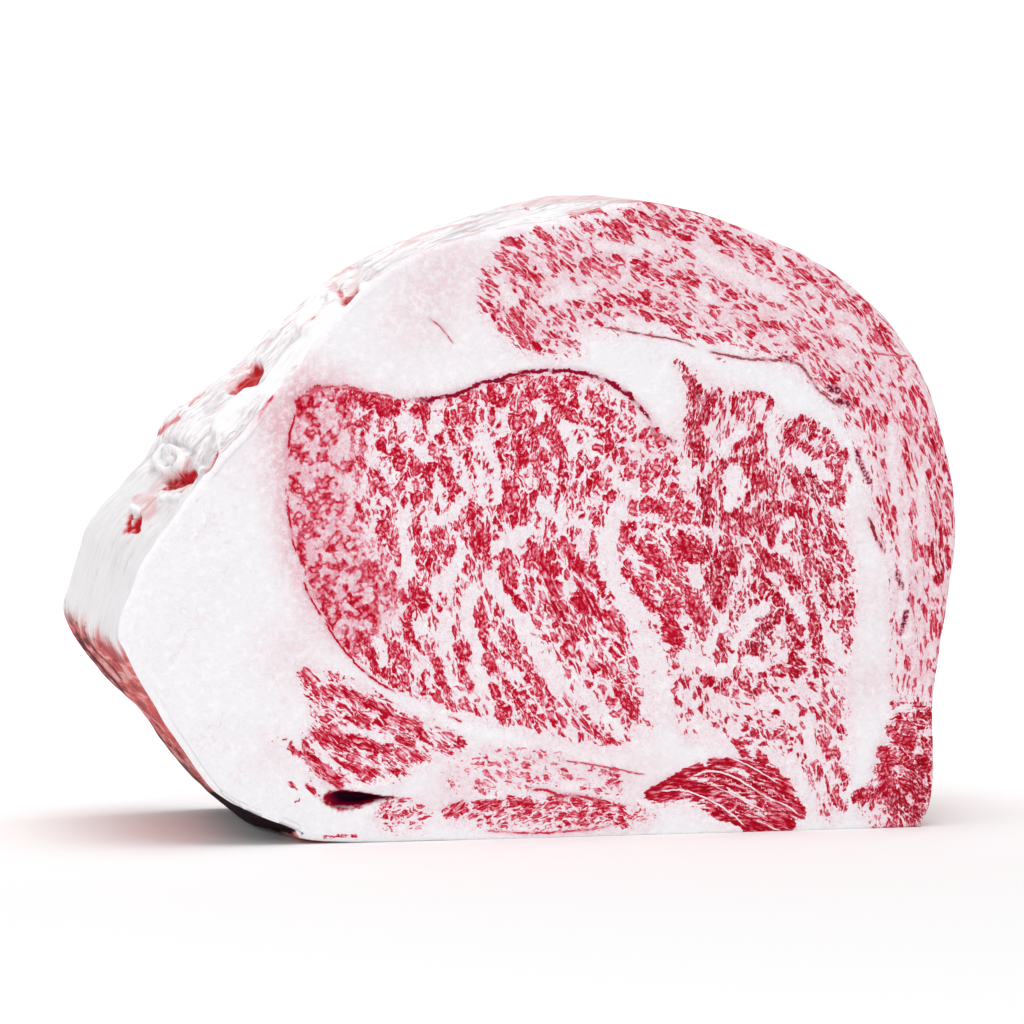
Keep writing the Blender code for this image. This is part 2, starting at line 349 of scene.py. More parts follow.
muscles = {
    "eye_muscle": {
        "outline": [
            (-63.8, 114), (-53, 117), (-39, 114), (-24, 115.2), (-9, 119), (6, 119.8), (20, 115),
            (32.5, 102), (40.3, 86), (42.2, 68), (37.5, 50), (30, 37), (26, 26), (13, 24.3), (-10, 30),
            (-38.5, 39), (-57, 56), (-67.5, 83), (-67.2, 102),
        ],
        "grain": (2.9, 4.8), "meat": 0.1, "deep": 0, "net": 0, "hatch": 0.1, "soft": 0.15, "ground": 0,
        "fibres": [
            (500, 420, 0), (465, 450, 12), (400, 450, 24), (330, 470, 35), (340, 600, 30), (530, 530, -5),
            (460, 640, 12), (400, 620, 20), (490, 690, 28), (515, 660, 38), (560, 640, 33), (600, 640, 32),
            (540, 700, 44), (600, 730, 52), (660, 480, -25), (620, 420, -20), (650, 590, 20),
            (670, 700, 20),
        ],
    },
    "inner_muscle": {
        "outline": [
            (36.5, 122.5), (46, 116), (59, 113.5), (64, 108), (73, 106.5), (81, 96), (80.2, 83.5),
            (83.5, 62), (80.5, 40), (81.8, 24), (79, 5), (75, 5.2), (70, 17), (58, 22.5), (38, 26.5),
            (34.5, 36), (39.5, 51), (42, 68), (39.5, 90), (35.5, 103), (38.5, 113),
        ],
        "grain": (2.5, 5.0), "meat": -0.4, "deep": 0.45, "net": 0, "hatch": 0.25, "soft": 0.5,
        "ground": 0.15,
        "fibres": [
            (705, 440, -4), (690, 380, 30), (750, 400, -20), (745, 460, 5), (790, 490, 10), (820, 440, -40),
            (840, 570, 22), (770, 560, 25), (720, 600, -15), (750, 640, 15), (800, 640, 18), (700, 690, 5),
            (780, 700, 50), (830, 740, 8), (830, 800, -5), (740, 740, 40),
        ],
    },
    "cap_muscle": {
        "outline": [
            (-17, 139), (-15.5, 148), (-8, 154.8), (13, 160), (24, 165), (42, 172), (88, 156), (116, 118),
            (122, 75), (115, 37), (97, 35.7), (95, 47), (95, 64), (88.5, 86.5), (83.5, 103), (72, 118),
            (53.6, 126.8), (25, 131.4), (8.5, 130.5), (9, 126), (0.6, 124.8), (-8, 127.7),
        ],
        "grain": (1.9, 5.0), "meat": -0.55, "deep": 0.1, "net": 0.1, "hatch": 0.6, "soft": 0.6,
        "ground": 0.45,
        "fibres": [
            (505, 265, 62), (510, 310, 30), (560, 260, 55), (650, 280, 62), (650, 225, 68), (760, 320, 58),
            (800, 340, 52), (870, 330, 40), (900, 380, 28), (920, 450, 12), (880, 470, 14), (900, 550, 3),
            (910, 650, -10),
        ],
    },
    "corner_muscle": {
        "outline": [
            (97.7, 31), (107, 31.5), (117, 31), (119, 14), (116, -6), (92, -6), (88.5, 2), (84.7, 7),
            (90, 14), (93.5, 26),
        ],
        "grain": (3.0, 4.0), "meat": 0, "deep": 0.4, "net": 0, "hatch": 0.2, "soft": 0.4, "ground": 0.2,
        "fibres": [(905, 720, 10), (910, 780, -20), (880, 790, 60)],
    },
    "base_muscle": {
        "outline": [
            (27, 9.7), (40, 16.3), (52.5, 19.3), (63, 16), (69.3, 6), (64, 1.8), (52, 2.4), (38, 7.7),
        ],
        "grain": (2.2, 6.0), "meat": 1.2, "deep": 0.3, "net": 0, "hatch": 0.9, "soft": 0.35, "ground": 0.1,
        "fibres": [(665, 790, 103), (700, 780, 92), (740, 790, 76), (780, 805, 66)],
    },
    "rib_muscle": {
        "outline": [
            (-64, 43.5), (-54, 42), (-40, 34.8), (-22.5, 25), (-33, 21.2), (-43, 17), (-58, 16.5),
            (-63.3, 24), (-60.5, 34),
        ],
        "grain": (2.2, 5.0), "meat": 0.1, "deep": 0, "net": 0, "hatch": 0.8, "soft": 0.7, "ground": 0,
        "fibres": [(330, 700, 45), (370, 710, 52), (420, 725, 58), (330, 760, 55), (360, 760, 66)],
    },
    "strip_muscle": {
        "outline": [(-26.5, 7), (-14, 9.5), (12, 9.6), (28.5, 4.4), (14.6, 2.5), (-12, 3.2)],
        "grain": (2.0, 4.4), "meat": 0, "deep": 0, "net": 0, "hatch": 0.8, "soft": 0.6, "ground": 0.1,
        "fibres": [(460, 815, 112), (520, 812, 105), (580, 812, 82), (640, 818, 78)],
    },
    "flecked_muscle": {
        "outline": [(-24.5, 18.5), (-13.4, 22.6), (3, 20.8), (21.5, 13.6), (1.2, 14), (-20, 13)],
        "grain": (2.2, 4.2), "meat": -0.8, "deep": 0, "net": 0.2, "hatch": 0.5, "soft": 1, "ground": 0.1,
        "fibres": [(470, 770, 60), (540, 770, 70), (600, 785, 80)],
    },
    "small_muscle": {
        "outline": [(-44.5, 7), (-39, 10), (-32, 8), (-34, 4.6), (-41, 4.3)],
        "grain": (1.8, 3.6), "meat": -0.5, "deep": 0, "net": 0, "hatch": 0.5, "soft": 0.8, "ground": 0,
        "fibres": [(400, 812, 100), (385, 812, 95)],
    },
}

# Clumps of lean and streams of fat that stand out, as strokes: photo pixels, then half width in pixels.
# A third number is how deep a red the clump has.

clumps = {
    "eye, middle": [
        ([(468, 416), (471, 448), (474, 462)], 4, 0.5), ([(498, 445), (501, 472), (506, 488)], 4, 0.5),
        ([(512, 484), (518, 500), (524, 519)], 5, 0.3), ([(533, 534), (531, 560)], 3, 0.6),
        ([(377, 465), (384, 492)], 4, 0.4), ([(398, 446), (403, 486)], 4, 0.4),
        ([(412, 451), (415, 472)], 3, 0.3), ([(424, 468), (431, 488)], 4, 0.4),
        ([(448, 460), (452, 497)], 3, 0.4), ([(383, 507), (389, 530)], 5, 0.5),
        ([(392, 533), (398, 556)], 5, 0.4), ([(415, 525), (421, 556)], 4, 0.4),
        ([(439, 530), (449, 550)], 7, 0.3), ([(462, 537), (479, 542)], 4, 0.3),
        ([(483, 530), (487, 562)], 4, 0.4), ([(506, 552), (509, 574)], 7, 0.4),
        ([(509, 585), (515, 606)], 4, 0.4),
    ],
    "eye, dense group": [
        ([(539, 560), (556, 585)], 8, 0.6), ([(562, 548), (588, 574)], 8, 0.4),
        ([(547, 600), (574, 633)], 9, 0.9), ([(577, 601), (607, 620)], 8, 0.6),
        ([(553, 637), (589, 663), (613, 672)], 5, 0.7), ([(592, 572), (609, 601)], 5, 0.5),
        ([(604, 619), (630, 645)], 5, 0.4), ([(575, 590), (592, 604)], 6, 0.5),
    ],
    "eye, low": [
        ([(359, 633), (374, 654)], 7, 0.6), ([(406, 619), (415, 642)], 5, 0.4),
        ([(418, 595), (433, 619)], 9, 0.3), ([(454, 622), (468, 659)], 6, 0.6),
        ([(480, 619), (492, 648)], 5, 0.4), ([(486, 660), (492, 673)], 6, 0.5),
        ([(504, 633), (530, 669)], 6, 0.5), ([(386, 672), (404, 686)], 6, 0.6),
        ([(389, 642), (409, 667)], 4, 0.3), ([(462, 669), (480, 705)], 5, 0.5),
        ([(421, 678), (428, 693)], 4, 0.2), ([(492, 686), (504, 724)], 5, 0.5),
        ([(501, 678), (530, 711)], 6, 0.5), ([(530, 669), (551, 699)], 5, 0.3),
        ([(539, 698), (561, 723)], 5, 0.4), ([(568, 704), (606, 740)], 5, 0.5),
        ([(545, 716), (563, 731)], 4, 0.3), ([(524, 713), (540, 729)], 5, 0.4),
        ([(336, 625), (353, 655)], 3, 0.4), ([(618, 680), (630, 700), (650, 728)], 3, 0.2),
        ([(435, 655), (447, 690)], 4, 0.2), ([(612, 690), (640, 722)], 3, 0.1),
    ],
    "eye, upper right": [
        ([(524, 379), (531, 393)], 8, 0.5), ([(490, 397), (506, 401)], 6, 0.4),
        ([(527, 416), (534, 432)], 7, 0.4), ([(512, 416), (515, 432)], 5, 0.3),
        ([(551, 384), (562, 408)], 8, 0.4), ([(574, 384), (602, 408)], 7, 0.3),
        ([(545, 425), (562, 446)], 8, 0.5), ([(545, 457), (560, 475)], 6, 0.4),
        ([(515, 439), (525, 461)], 5, 0.4), ([(586, 419), (604, 434)], 5, 0.2),
        ([(604, 448), (625, 460)], 5, 0.3), ([(627, 428), (645, 443)], 4, 0.3),
        ([(627, 466), (649, 479)], 4, 0.3), ([(659, 469), (671, 488)], 5, 0.2),
        ([(656, 507), (683, 520)], 5, 0.3), ([(583, 457), (604, 485)], 5, 0.1),
        ([(624, 524), (637, 548)], 7, 0.4), ([(595, 544), (599, 556)], 4, 0.3),
        ([(650, 554), (675, 580)], 6, 0.4), ([(624, 572), (640, 581)], 5, 0.2),
        ([(639, 592), (660, 612)], 5, 0.4), ([(668, 535), (690, 560)], 6, 0.5),
        ([(668, 600), (672, 640)], 6, 0.4), ([(655, 430), (672, 460)], 4, 0.1),
    ],
    "eye, left": [
        ([(302, 402), (318, 394), (330, 400)], 8, 0.4), ([(345, 392), (368, 402), (395, 410)], 7, 0.4),
        ([(400, 405), (425, 415)], 6, 0.4), ([(342, 408), (362, 430)], 6, 0.4),
        ([(297, 425), (303, 470)], 3, 0.3), ([(322, 468), (330, 478)], 5, 0.3),
        ([(344, 462), (356, 474)], 4, 0.4), ([(295, 480), (300, 500)], 4, 0.3),
        ([(325, 490), (340, 508)], 4, 0.2), ([(350, 500), (362, 515)], 4, 0.2),
        ([(345, 545), (356, 560)], 5, 0.4), ([(299, 548), (312, 580)], 3, 0.3),
        ([(318, 535), (328, 550)], 4, 0.2), ([(368, 560), (380, 590)], 4, 0.2),
        ([(348, 592), (372, 618)], 6, 0.3), ([(380, 540), (384, 560)], 4, 0.3),
        ([(322, 604), (345, 640)], 3, 0.5),
    ],
    "inner muscle": [
        ([(679, 364), (693, 383), (709, 399)], 5, 1), ([(696, 395), (708, 418)], 8, 0.8),
        ([(720, 393), (724, 408)], 5, 0.2), ([(734, 398), (739, 418)], 4, 0.2),
        ([(745, 394), (767, 398), (771, 408)], 4, 0.3), ([(691, 421), (698, 456)], 9, 0.5),
        ([(736, 446), (754, 440)], 4, 0.2), ([(724, 464), (748, 461), (770, 452)], 5, 0.6),
        ([(784, 430), (806, 421), (827, 438), (843, 458)], 6, 0.5), ([(803, 445), (822, 455)], 4, 0.3),
        ([(827, 457), (834, 469), (846, 477)], 6, 0.5), ([(715, 474), (722, 491)], 5, 0.3),
        ([(703, 483), (708, 523)], 6, 0.9), ([(755, 476), (765, 484)], 7, 0.3),
        ([(739, 498), (755, 494)], 5, 0.3), ([(727, 512), (744, 524)], 9, 0.5),
        ([(789, 455), (793, 484)], 5, 0.6), ([(827, 493), (836, 508)], 5, 0.8),
        ([(834, 486), (843, 498)], 4, 0.5), ([(777, 505), (791, 512)], 7, 0.3),
        ([(798, 502), (808, 530)], 6, 0.5), ([(824, 514), (834, 527)], 4, 0.7),
        ([(753, 521), (771, 532)], 9, 0.4), ([(786, 533), (803, 543)], 6, 0.4),
        ([(815, 533), (841, 549)], 8, 0.5), ([(684, 540), (708, 560), (718, 580)], 9, 0.7),
        ([(724, 540), (736, 570)], 7, 0.4), ([(758, 548), (773, 565)], 6, 0.4),
        ([(774, 560), (793, 570)], 6, 0.3), ([(812, 552), (827, 579), (832, 603)], 8, 0.7),
        ([(834, 560), (850, 604)], 6, 0.6), ([(753, 564), (763, 577)], 4, 0.3),
        ([(717, 583), (722, 603)], 8, 0.5), ([(793, 579), (812, 602), (816, 625)], 7, 0.6),
        ([(767, 583), (789, 612), (794, 637)], 5, 0.7), ([(700, 612), (704, 636)], 9, 0.4),
        ([(741, 607), (739, 625)], 5, 0.6), ([(729, 638), (720, 656)], 9, 0.7),
        ([(741, 646), (743, 661)], 6, 0.5), ([(674, 631), (674, 651)], 6, 0.5),
        ([(846, 606), (848, 622)], 8, 0.4), ([(793, 640), (799, 666)], 9, 0.6),
        ([(812, 633), (817, 645)], 6, 0.5), ([(822, 648), (817, 672)], 6, 0.4),
        ([(767, 677), (785, 667)], 7, 0.5), ([(707, 681), (732, 681)], 5, 0.3),
        ([(750, 693), (761, 699)], 6, 0.7), ([(677, 600), (668, 615)], 6, 0.3),
        ([(690, 590), (700, 610)], 6, 0.4), ([(718, 560), (705, 590)], 5, 0.5),
    ],
    "inner muscle, low": [
        ([(720, 687), (725, 692)], 6, 0.4), ([(677, 666), (683, 679)], 4, 0.2),
        ([(751, 723), (754, 731)], 6, 0.6), ([(784, 728), (790, 731)], 5, 0.6),
        ([(737, 740), (745, 751)], 5, 0.3), ([(768, 738), (796, 738)], 4, 0.3),
        ([(779, 709), (768, 719)], 4, 0.3), ([(820, 690), (822, 703)], 5, 0.5),
        ([(834, 718), (841, 731)], 4, 0.3), ([(818, 735), (832, 755)], 6, 0.2),
        ([(839, 769), (846, 781)], 5, 0.2), ([(828, 795), (842, 806)], 6, 0.1),
        ([(699, 711), (702, 724)], 3, 0.3), ([(687, 716), (691, 718)], 4, 0.1),
        ([(760, 752), (765, 762)], 4, 0.3), ([(698, 694), (706, 704)], 4, 0.2),
        ([(672, 690), (684, 706)], 3, 0.1), ([(790, 690), (806, 702)], 4, 0.2),
    ],
    "deep patches": [
        ([(810, 478), (816, 492)], 8, 1.6), ([(768, 622), (763, 643)], 11, 1.3),
        ([(756, 642), (750, 650)], 8, 1.1), ([(922, 706), (923, 717)], 7, 1.2),
        ([(918, 766), (922, 784), (914, 784)], 10, 1.2), ([(893, 806), (904, 801), (914, 814)], 9, 1.8),
        ([(936, 545), (941, 560), (942, 580)], 8, 1.5),
    ],
    "cap, left and top": [
        ([(486, 284), (498, 309)], 6, 0.3), ([(504, 243), (520, 240)], 4, 0.1),
        ([(504, 261), (523, 266)], 3, 0.4), ([(503, 252), (518, 256)], 2, 0.4),
        ([(513, 281), (516, 288)], 4, 0.2), ([(531, 293), (537, 300)], 8, 0.4),
        ([(513, 319), (526, 335)], 7, 0.3), ([(519, 269), (537, 279)], 5, 0.2),
        ([(538, 231), (549, 241)], 5, 0.1), ([(557, 240), (570, 244)], 5, 0.1),
        ([(595, 225), (626, 232)], 6, 0.3), ([(631, 213), (652, 222)], 7, 0.5),
        ([(666, 222), (687, 231)], 8, 0.6), ([(713, 234), (732, 244)], 7, 0.4),
        ([(636, 264), (673, 282)], 6, 0.4), ([(663, 258), (673, 262)], 5, 0.2),
        ([(684, 275), (696, 291)], 6, 0.3), ([(607, 299), (626, 303)], 6, 0.3),
        ([(642, 299), (661, 303)], 6, 0.3), ([(672, 308), (685, 332)], 6, 0.1),
        ([(719, 290), (737, 294)], 6, 0.2), ([(586, 261), (611, 273)], 5, 0.1),
        ([(707, 308), (720, 312)], 4, 0.2), ([(763, 322), (782, 325)], 6, 0.4),
        ([(828, 286), (843, 300)], 8, 0.6), ([(854, 299), (867, 309)], 6, 0.5),
        ([(875, 325), (887, 341)], 6, 0.5), ([(789, 334), (805, 344)], 6, 0.4),
        ([(825, 372), (846, 379)], 8, 0.5), ([(845, 390), (855, 403)], 6, 0.5),
        ([(742, 246), (770, 253)], 5, 0.2), ([(784, 261), (805, 273)], 4, 0.5),
        ([(807, 275), (820, 288)], 4, 0.2), ([(490, 300), (500, 330)], 4, 0.3),
        ([(545, 330), (575, 345)], 3, 0.1), ([(690, 335), (720, 340)], 4, 0.2),
        ([(510, 330), (535, 345)], 4, 0.3), ([(570, 215), (600, 210)], 3, 0.1),
    ],
    "cap, right": [
        ([(931, 440), (943, 465)], 7, 0.9), ([(929, 479), (945, 499)], 9, 1.0),
        ([(935, 503), (945, 527)], 8, 0.9), ([(917, 540), (922, 556)], 3, 0.5),
        ([(931, 612), (934, 632)], 5, 0.3), ([(922, 656), (928, 663)], 6, 0.5),
        ([(903, 417), (913, 422)], 4, 0.2), ([(874, 410), (884, 430)], 6, 0.3),
        ([(912, 433), (924, 461)], 5, 0.2), ([(898, 679), (909, 676)], 4, 0.3),
        ([(921, 644), (927, 660)], 7, 0.4), ([(915, 390), (925, 420)], 5, 0.3),
        ([(880, 500), (884, 525)], 4, 0.1), ([(905, 440), (908, 480)], 4, 0.1),
        ([(908, 500), (912, 530)], 4, 0.1),
    ],
    "corner": [
        ([(894, 704), (913, 697), (922, 702)], 4, 0.6), ([(893, 733), (898, 740)], 7, 0.2),
        ([(882, 752), (890, 762)], 7, 0.2), ([(858, 797), (881, 792)], 7, 0.5),
        ([(880, 770), (900, 790)], 8, 0.4), ([(905, 725), (912, 745)], 6, 0.4),
        ([(905, 760), (900, 780)], 6, 0.3), ([(926, 745), (925, 760)], 5, 0.5),
    ],
    "rib": [
        ([(306, 742), (312, 758), (340, 785)], 4, 0.7), ([(330, 735), (350, 748)], 8, 0.6),
        ([(352, 740), (385, 752)], 6, 0.6), ([(330, 690), (375, 706), (425, 735)], 5, 0.5),
        ([(350, 715), (365, 722)], 6, 0.5), ([(385, 725), (410, 740)], 6, 0.5),
        ([(345, 765), (372, 772)], 5, 0.3), ([(400, 752), (412, 758)], 5, 0.2),
        ([(312, 735), (325, 742)], 3, 0.4),
    ],
    "base": [
        ([(650, 795), (672, 782), (700, 768)], 5, 0.6), ([(700, 790), (740, 782), (765, 790)], 7, 0.7),
        ([(712, 762), (745, 764), (770, 778)], 4, 0.6), ([(720, 812), (760, 825)], 7, 0.8),
        ([(780, 790), (800, 812)], 7, 0.5), ([(748, 830), (790, 825)], 6, 0.6),
    ],
    "strip": [
        ([(448, 812), (463, 806)], 6, 0.5), ([(478, 806), (500, 806)], 5, 0.5),
        ([(508, 798), (522, 802)], 4, 0.4), ([(530, 806), (560, 800)], 5, 0.4),
        ([(575, 800), (620, 808)], 4, 0.3), ([(383, 812), (395, 816)], 4, 0.4),
        ([(404, 815), (420, 808)], 4, 0.3), ([(560, 816), (600, 814)], 3, 0.2),
    ],
    "flecked": [
        ([(478, 760), (488, 765)], 5, 0.3), ([(480, 785), (486, 790)], 5, 0.2),
        ([(510, 775), (535, 780)], 5, 0.5), ([(540, 752), (552, 762)], 3, 0.2),
        ([(600, 790), (614, 784)], 4, 0.2), ([(560, 772), (575, 780)], 4, 0.1),
        ([(612, 770), (620, 790)], 4, 0.1),
    ],
    "specks in the fat": [
        ([(290, 783), (297, 789)], 2, 0.5), ([(308, 786), (318, 796)], 3, 0.5),
        ([(325, 837), (357, 836)], 2, 0.5), ([(272, 742), (278, 738), (292, 742)], 1.2, -0.5),
        ([(305, 670), (312, 678)], 4, -0.4), ([(290, 748), (299, 755)], 2.5, -0.4),
        ([(296, 802), (300, 800)], 1.5, 0.2), ([(318, 760), (330, 768)], 2, 0.3),
    ],
}

streams = {
    "eye": [
        ([(468, 425), (480, 478), (484, 503)], 4), ([(486, 439), (498, 478), (498, 500)], 4),
        ([(404, 420), (412, 442), (426, 459)], 4), ([(454, 455), (466, 490), (454, 514)], 5),
        ([(430, 519), (446, 526)], 6), ([(406, 517), (407, 548), (409, 574)], 5),
        ([(456, 536), (459, 560), (445, 582)], 5), ([(495, 548), (512, 540), (526, 533)], 6),
        ([(421, 627), (445, 616), (449, 641)], 7),
        ([(474, 589), (468, 619), (477, 654), (486, 692), (499, 715)], 5),
        ([(498, 590), (515, 615), (539, 651), (557, 680), (583, 697), (622, 735)], 6),
        ([(615, 517), (606, 548), (615, 583), (633, 610), (643, 642), (658, 669), (650, 713),
            (640, 742)], 9),
        ([(376, 640), (384, 665)], 4), ([(440, 480), (436, 500)], 4), ([(536, 400), (541, 420)], 3),
        ([(566, 425), (575, 455)], 4), ([(540, 500), (560, 520), (590, 525)], 4),
        ([(488, 575), (500, 600)], 4), ([(440, 400), (436, 430)], 3),
        ([(646, 640), (655, 700), (680, 745)], 10), ([(400, 700), (430, 712), (470, 725)], 4),
        ([(600, 470), (612, 480), (640, 490)], 3),
    ],
    "inner": [
        ([(734, 472), (739, 493), (727, 503)], 7), ([(788, 455), (808, 464), (829, 474)], 6),
        ([(743, 431), (720, 449)], 4), ([(772, 419), (774, 455)], 4), ([(795, 518), (784, 532)], 4),
        ([(693, 565), (698, 585)], 5), ([(746, 560), (748, 582)], 3),
        ([(737, 628), (750, 616), (766, 608)], 5), ([(735, 645), (750, 626)], 3),
        ([(708, 650), (727, 617)], 4), ([(684, 657), (720, 670), (739, 659), (760, 668)], 5),
        ([(831, 641), (842, 662)], 7), ([(783, 590), (806, 620)], 3), ([(842, 470), (850, 500)], 3),
        ([(690, 720), (715, 735), (740, 760)], 5), ([(764, 700), (790, 710)], 3),
        ([(808, 720), (812, 760)], 4), ([(660, 650), (665, 700)], 6),
    ],
    "cap": [
        ([(500, 280), (511, 300)], 5), ([(545, 300), (590, 290)], 5), ([(600, 245), (640, 250)], 4),
        ([(700, 255), (740, 275), (780, 295)], 6), ([(560, 280), (575, 295)], 5),
        ([(620, 320), (665, 330)], 4), ([(840, 325), (868, 350)], 3),
        ([(905, 500), (903, 570), (907, 640)], 4), ([(890, 430), (896, 500)], 4),
        ([(922, 470), (921, 540)], 3), ([(640, 240), (660, 250)], 4), ([(700, 290), (712, 300)], 4),
    ],
    "rib and base": [
        ([(316, 745), (330, 760), (352, 780)], 3), ([(345, 728), (380, 738)], 3),
        ([(668, 800), (705, 806)], 2), ([(690, 778), (730, 790), (765, 815)], 2),
        ([(700, 800), (740, 815)], 1.5), ([(735, 770), (790, 800)], 2),
    ],
}

# Thin lines: photo pixels, half width in pixels, and a tint from 0 to 1 (crimson, purple, brown, white)

fineLines = {
    "membrane over the eye": (
        [(400, 399), (430, 400), (462, 393), (480, 384), (500, 379), (522, 374), (545, 371), (575, 372),
         (600, 378), (625, 392), (645, 412), (658, 435), (670, 441)], 1.7, 0.4),
    "membrane, left": ([(303, 396), (320, 388), (345, 387), (372, 393), (400, 399)], 1.0, 0.12),
    "edge of the eye, left": ([(297, 412), (291, 430), (289, 452)], 0.9, 0.0),
    "edge of the eye, left middle": ([(288, 500), (291, 530), (297, 556)], 1.0, 0.0),
    "edge of the eye, left low": ([(303, 580), (311, 600), (322, 618)], 0.9, 0.0),
    "edge of the eye, low": ([(322, 618), (345, 652), (372, 678), (400, 695)], 0.9, 0.0),
    "under the cap": ([(700, 350), (740, 358), (790, 362), (805, 370), (820, 392), (842, 408),
        (848, 414)], 1.0, 0.7),
    "under the cap, left": ([(600, 326), (640, 334), (680, 341), (700, 350)], 0.7, 0.7),
    "line by the right edge": ([(868, 515), (874, 532), (885, 555)], 1.2, 0.55),
    "crack": ([(530, 790), (548, 791), (560, 796), (575, 796), (600, 801)], 1.1, 0.05),
    "line under the strip": ([(480, 830), (520, 833), (560, 832), (600, 828), (620, 820)], 0.8, 0.05),
    "fold by the cap": ([(430, 318), (442, 328), (455, 345)], 0.5, 0.2),
    "rim, left": ([(258, 420), (266, 405), (276, 395)], 0.9, 0.1),
    "rib edge": ([(303, 742), (308, 760), (322, 777), (345, 790)], 1.0, 0.02),
    "eye tail": ([(447, 716), (454, 718), (462, 722)], 0.8, 0.02),
    "faint line over the strip": ([(560, 760), (600, 766), (650, 776)], 0.6, 0.1),
    "cross cut": ([(868, 352), (890, 355), (912, 356)], 0.6, 0.15),
    "base, long vein": (
        [(688, 778), (711, 771), (730, 775), (748, 785), (767, 797), (789, 807), (805, 819)], 0.6, 0.95),
    "base, middle vein": ([(712, 786), (728, 792), (748, 803), (768, 812)], 0.45, 0.95),
    "base, low vein": ([(655, 792), (681, 790), (704, 797), (722, 807), (737, 818),
        (748, 830)], 0.55, 0.95),
    "base, top vein": ([(728, 756), (745, 764), (764, 774), (780, 785)], 0.45, 0.95),
    "base, right vein": ([(768, 826), (782, 832)], 0.6, 0.95),
}

bruises = [  # dark purple marks: photo pixels, half width in pixels
    ([(857, 452), (861, 465), (870, 482)], 3.0), ([(828, 388), (838, 390)], 3.6),
    ([(839, 401), (848, 404)], 3.4), ([(897, 572), (901, 588)], 2.8), ([(907, 597), (910, 603)], 1.8),
    ([(907, 612), (901, 634)], 2.8), ([(664, 437), (674, 442)], 2.6), ([(716, 356), (724, 362)], 1.2),
    ([(700, 395), (702, 404)], 1.5), ([(782, 355), (792, 362)], 2.0),
]

densities = [  # where the lean is thinner or denser: photo pixels, radius in pixels, change
    ((600, 430), 55, -0.8), ((630, 520), 45, -0.3), ((450, 640), 60, -0.75), ((450, 490), 60, 0.45),
    ((560, 660), 60, -0.3), ((560, 700), 50, -0.75), ((335, 500), 75, -0.9), ((590, 600), 40, -0.2),
    ((765, 730), 70, -0.55), ((765, 450), 60, 0.5), ((710, 270), 60, -0.35), ((850, 340), 50, -0.25),
    ((915, 500), 50, -0.3), ((903, 655), 45, -0.9), ((880, 580), 30, -0.6), ((540, 775), 70, -0.3),
    ((655, 470), 40, -0.3), ((330, 400), 35, 0.3), ((690, 700), 40, -0.5), ((470, 420), 40, -0.2),
    ((380, 740), 40, -0.15), ((880, 450), 30, -0.4), ((730, 590), 30, 0.25),
]

blushes = [  # pink areas of the fat: photo pixels, radius in pixels, strength
    ((435, 285), 45, 0.32), ((415, 325), 40, 0.14), ((460, 250), 35, 0.22), ((300, 400), 16, 0.55),
    ((305, 370), 20, 0.5), ((292, 460), 9, 0.5), ((270, 420), 20, 0.3), ((250, 470), 25, 0.18),
    ((300, 660), 35, 0.22), ((275, 640), 30, 0.12), ((340, 380), 20, 0.3), ((540, 750), 30, 0.12),
    ((640, 770), 30, 0.18), ((560, 350), 40, 0.04), ((650, 450), 30, 0.3), ((870, 520), 25, 0.25),
    ((880, 600), 35, 0.25), ((875, 680), 35, 0.2), ((480, 350), 30, 0.08), ((400, 360), 60, 0.05),
    ((720, 380), 40, 0.1), ((600, 735), 40, 0.12), ((450, 790), 25, 0.3), ((275, 755), 22, 0.25),
    ((640, 700), 30, 0.06), ((860, 690), 25, 0.1),
]

facePit = {"centre": (-49, -45, 11.8), "half": (9.5, 5, 2.9)}  # the dark hole low on the cut face, mm
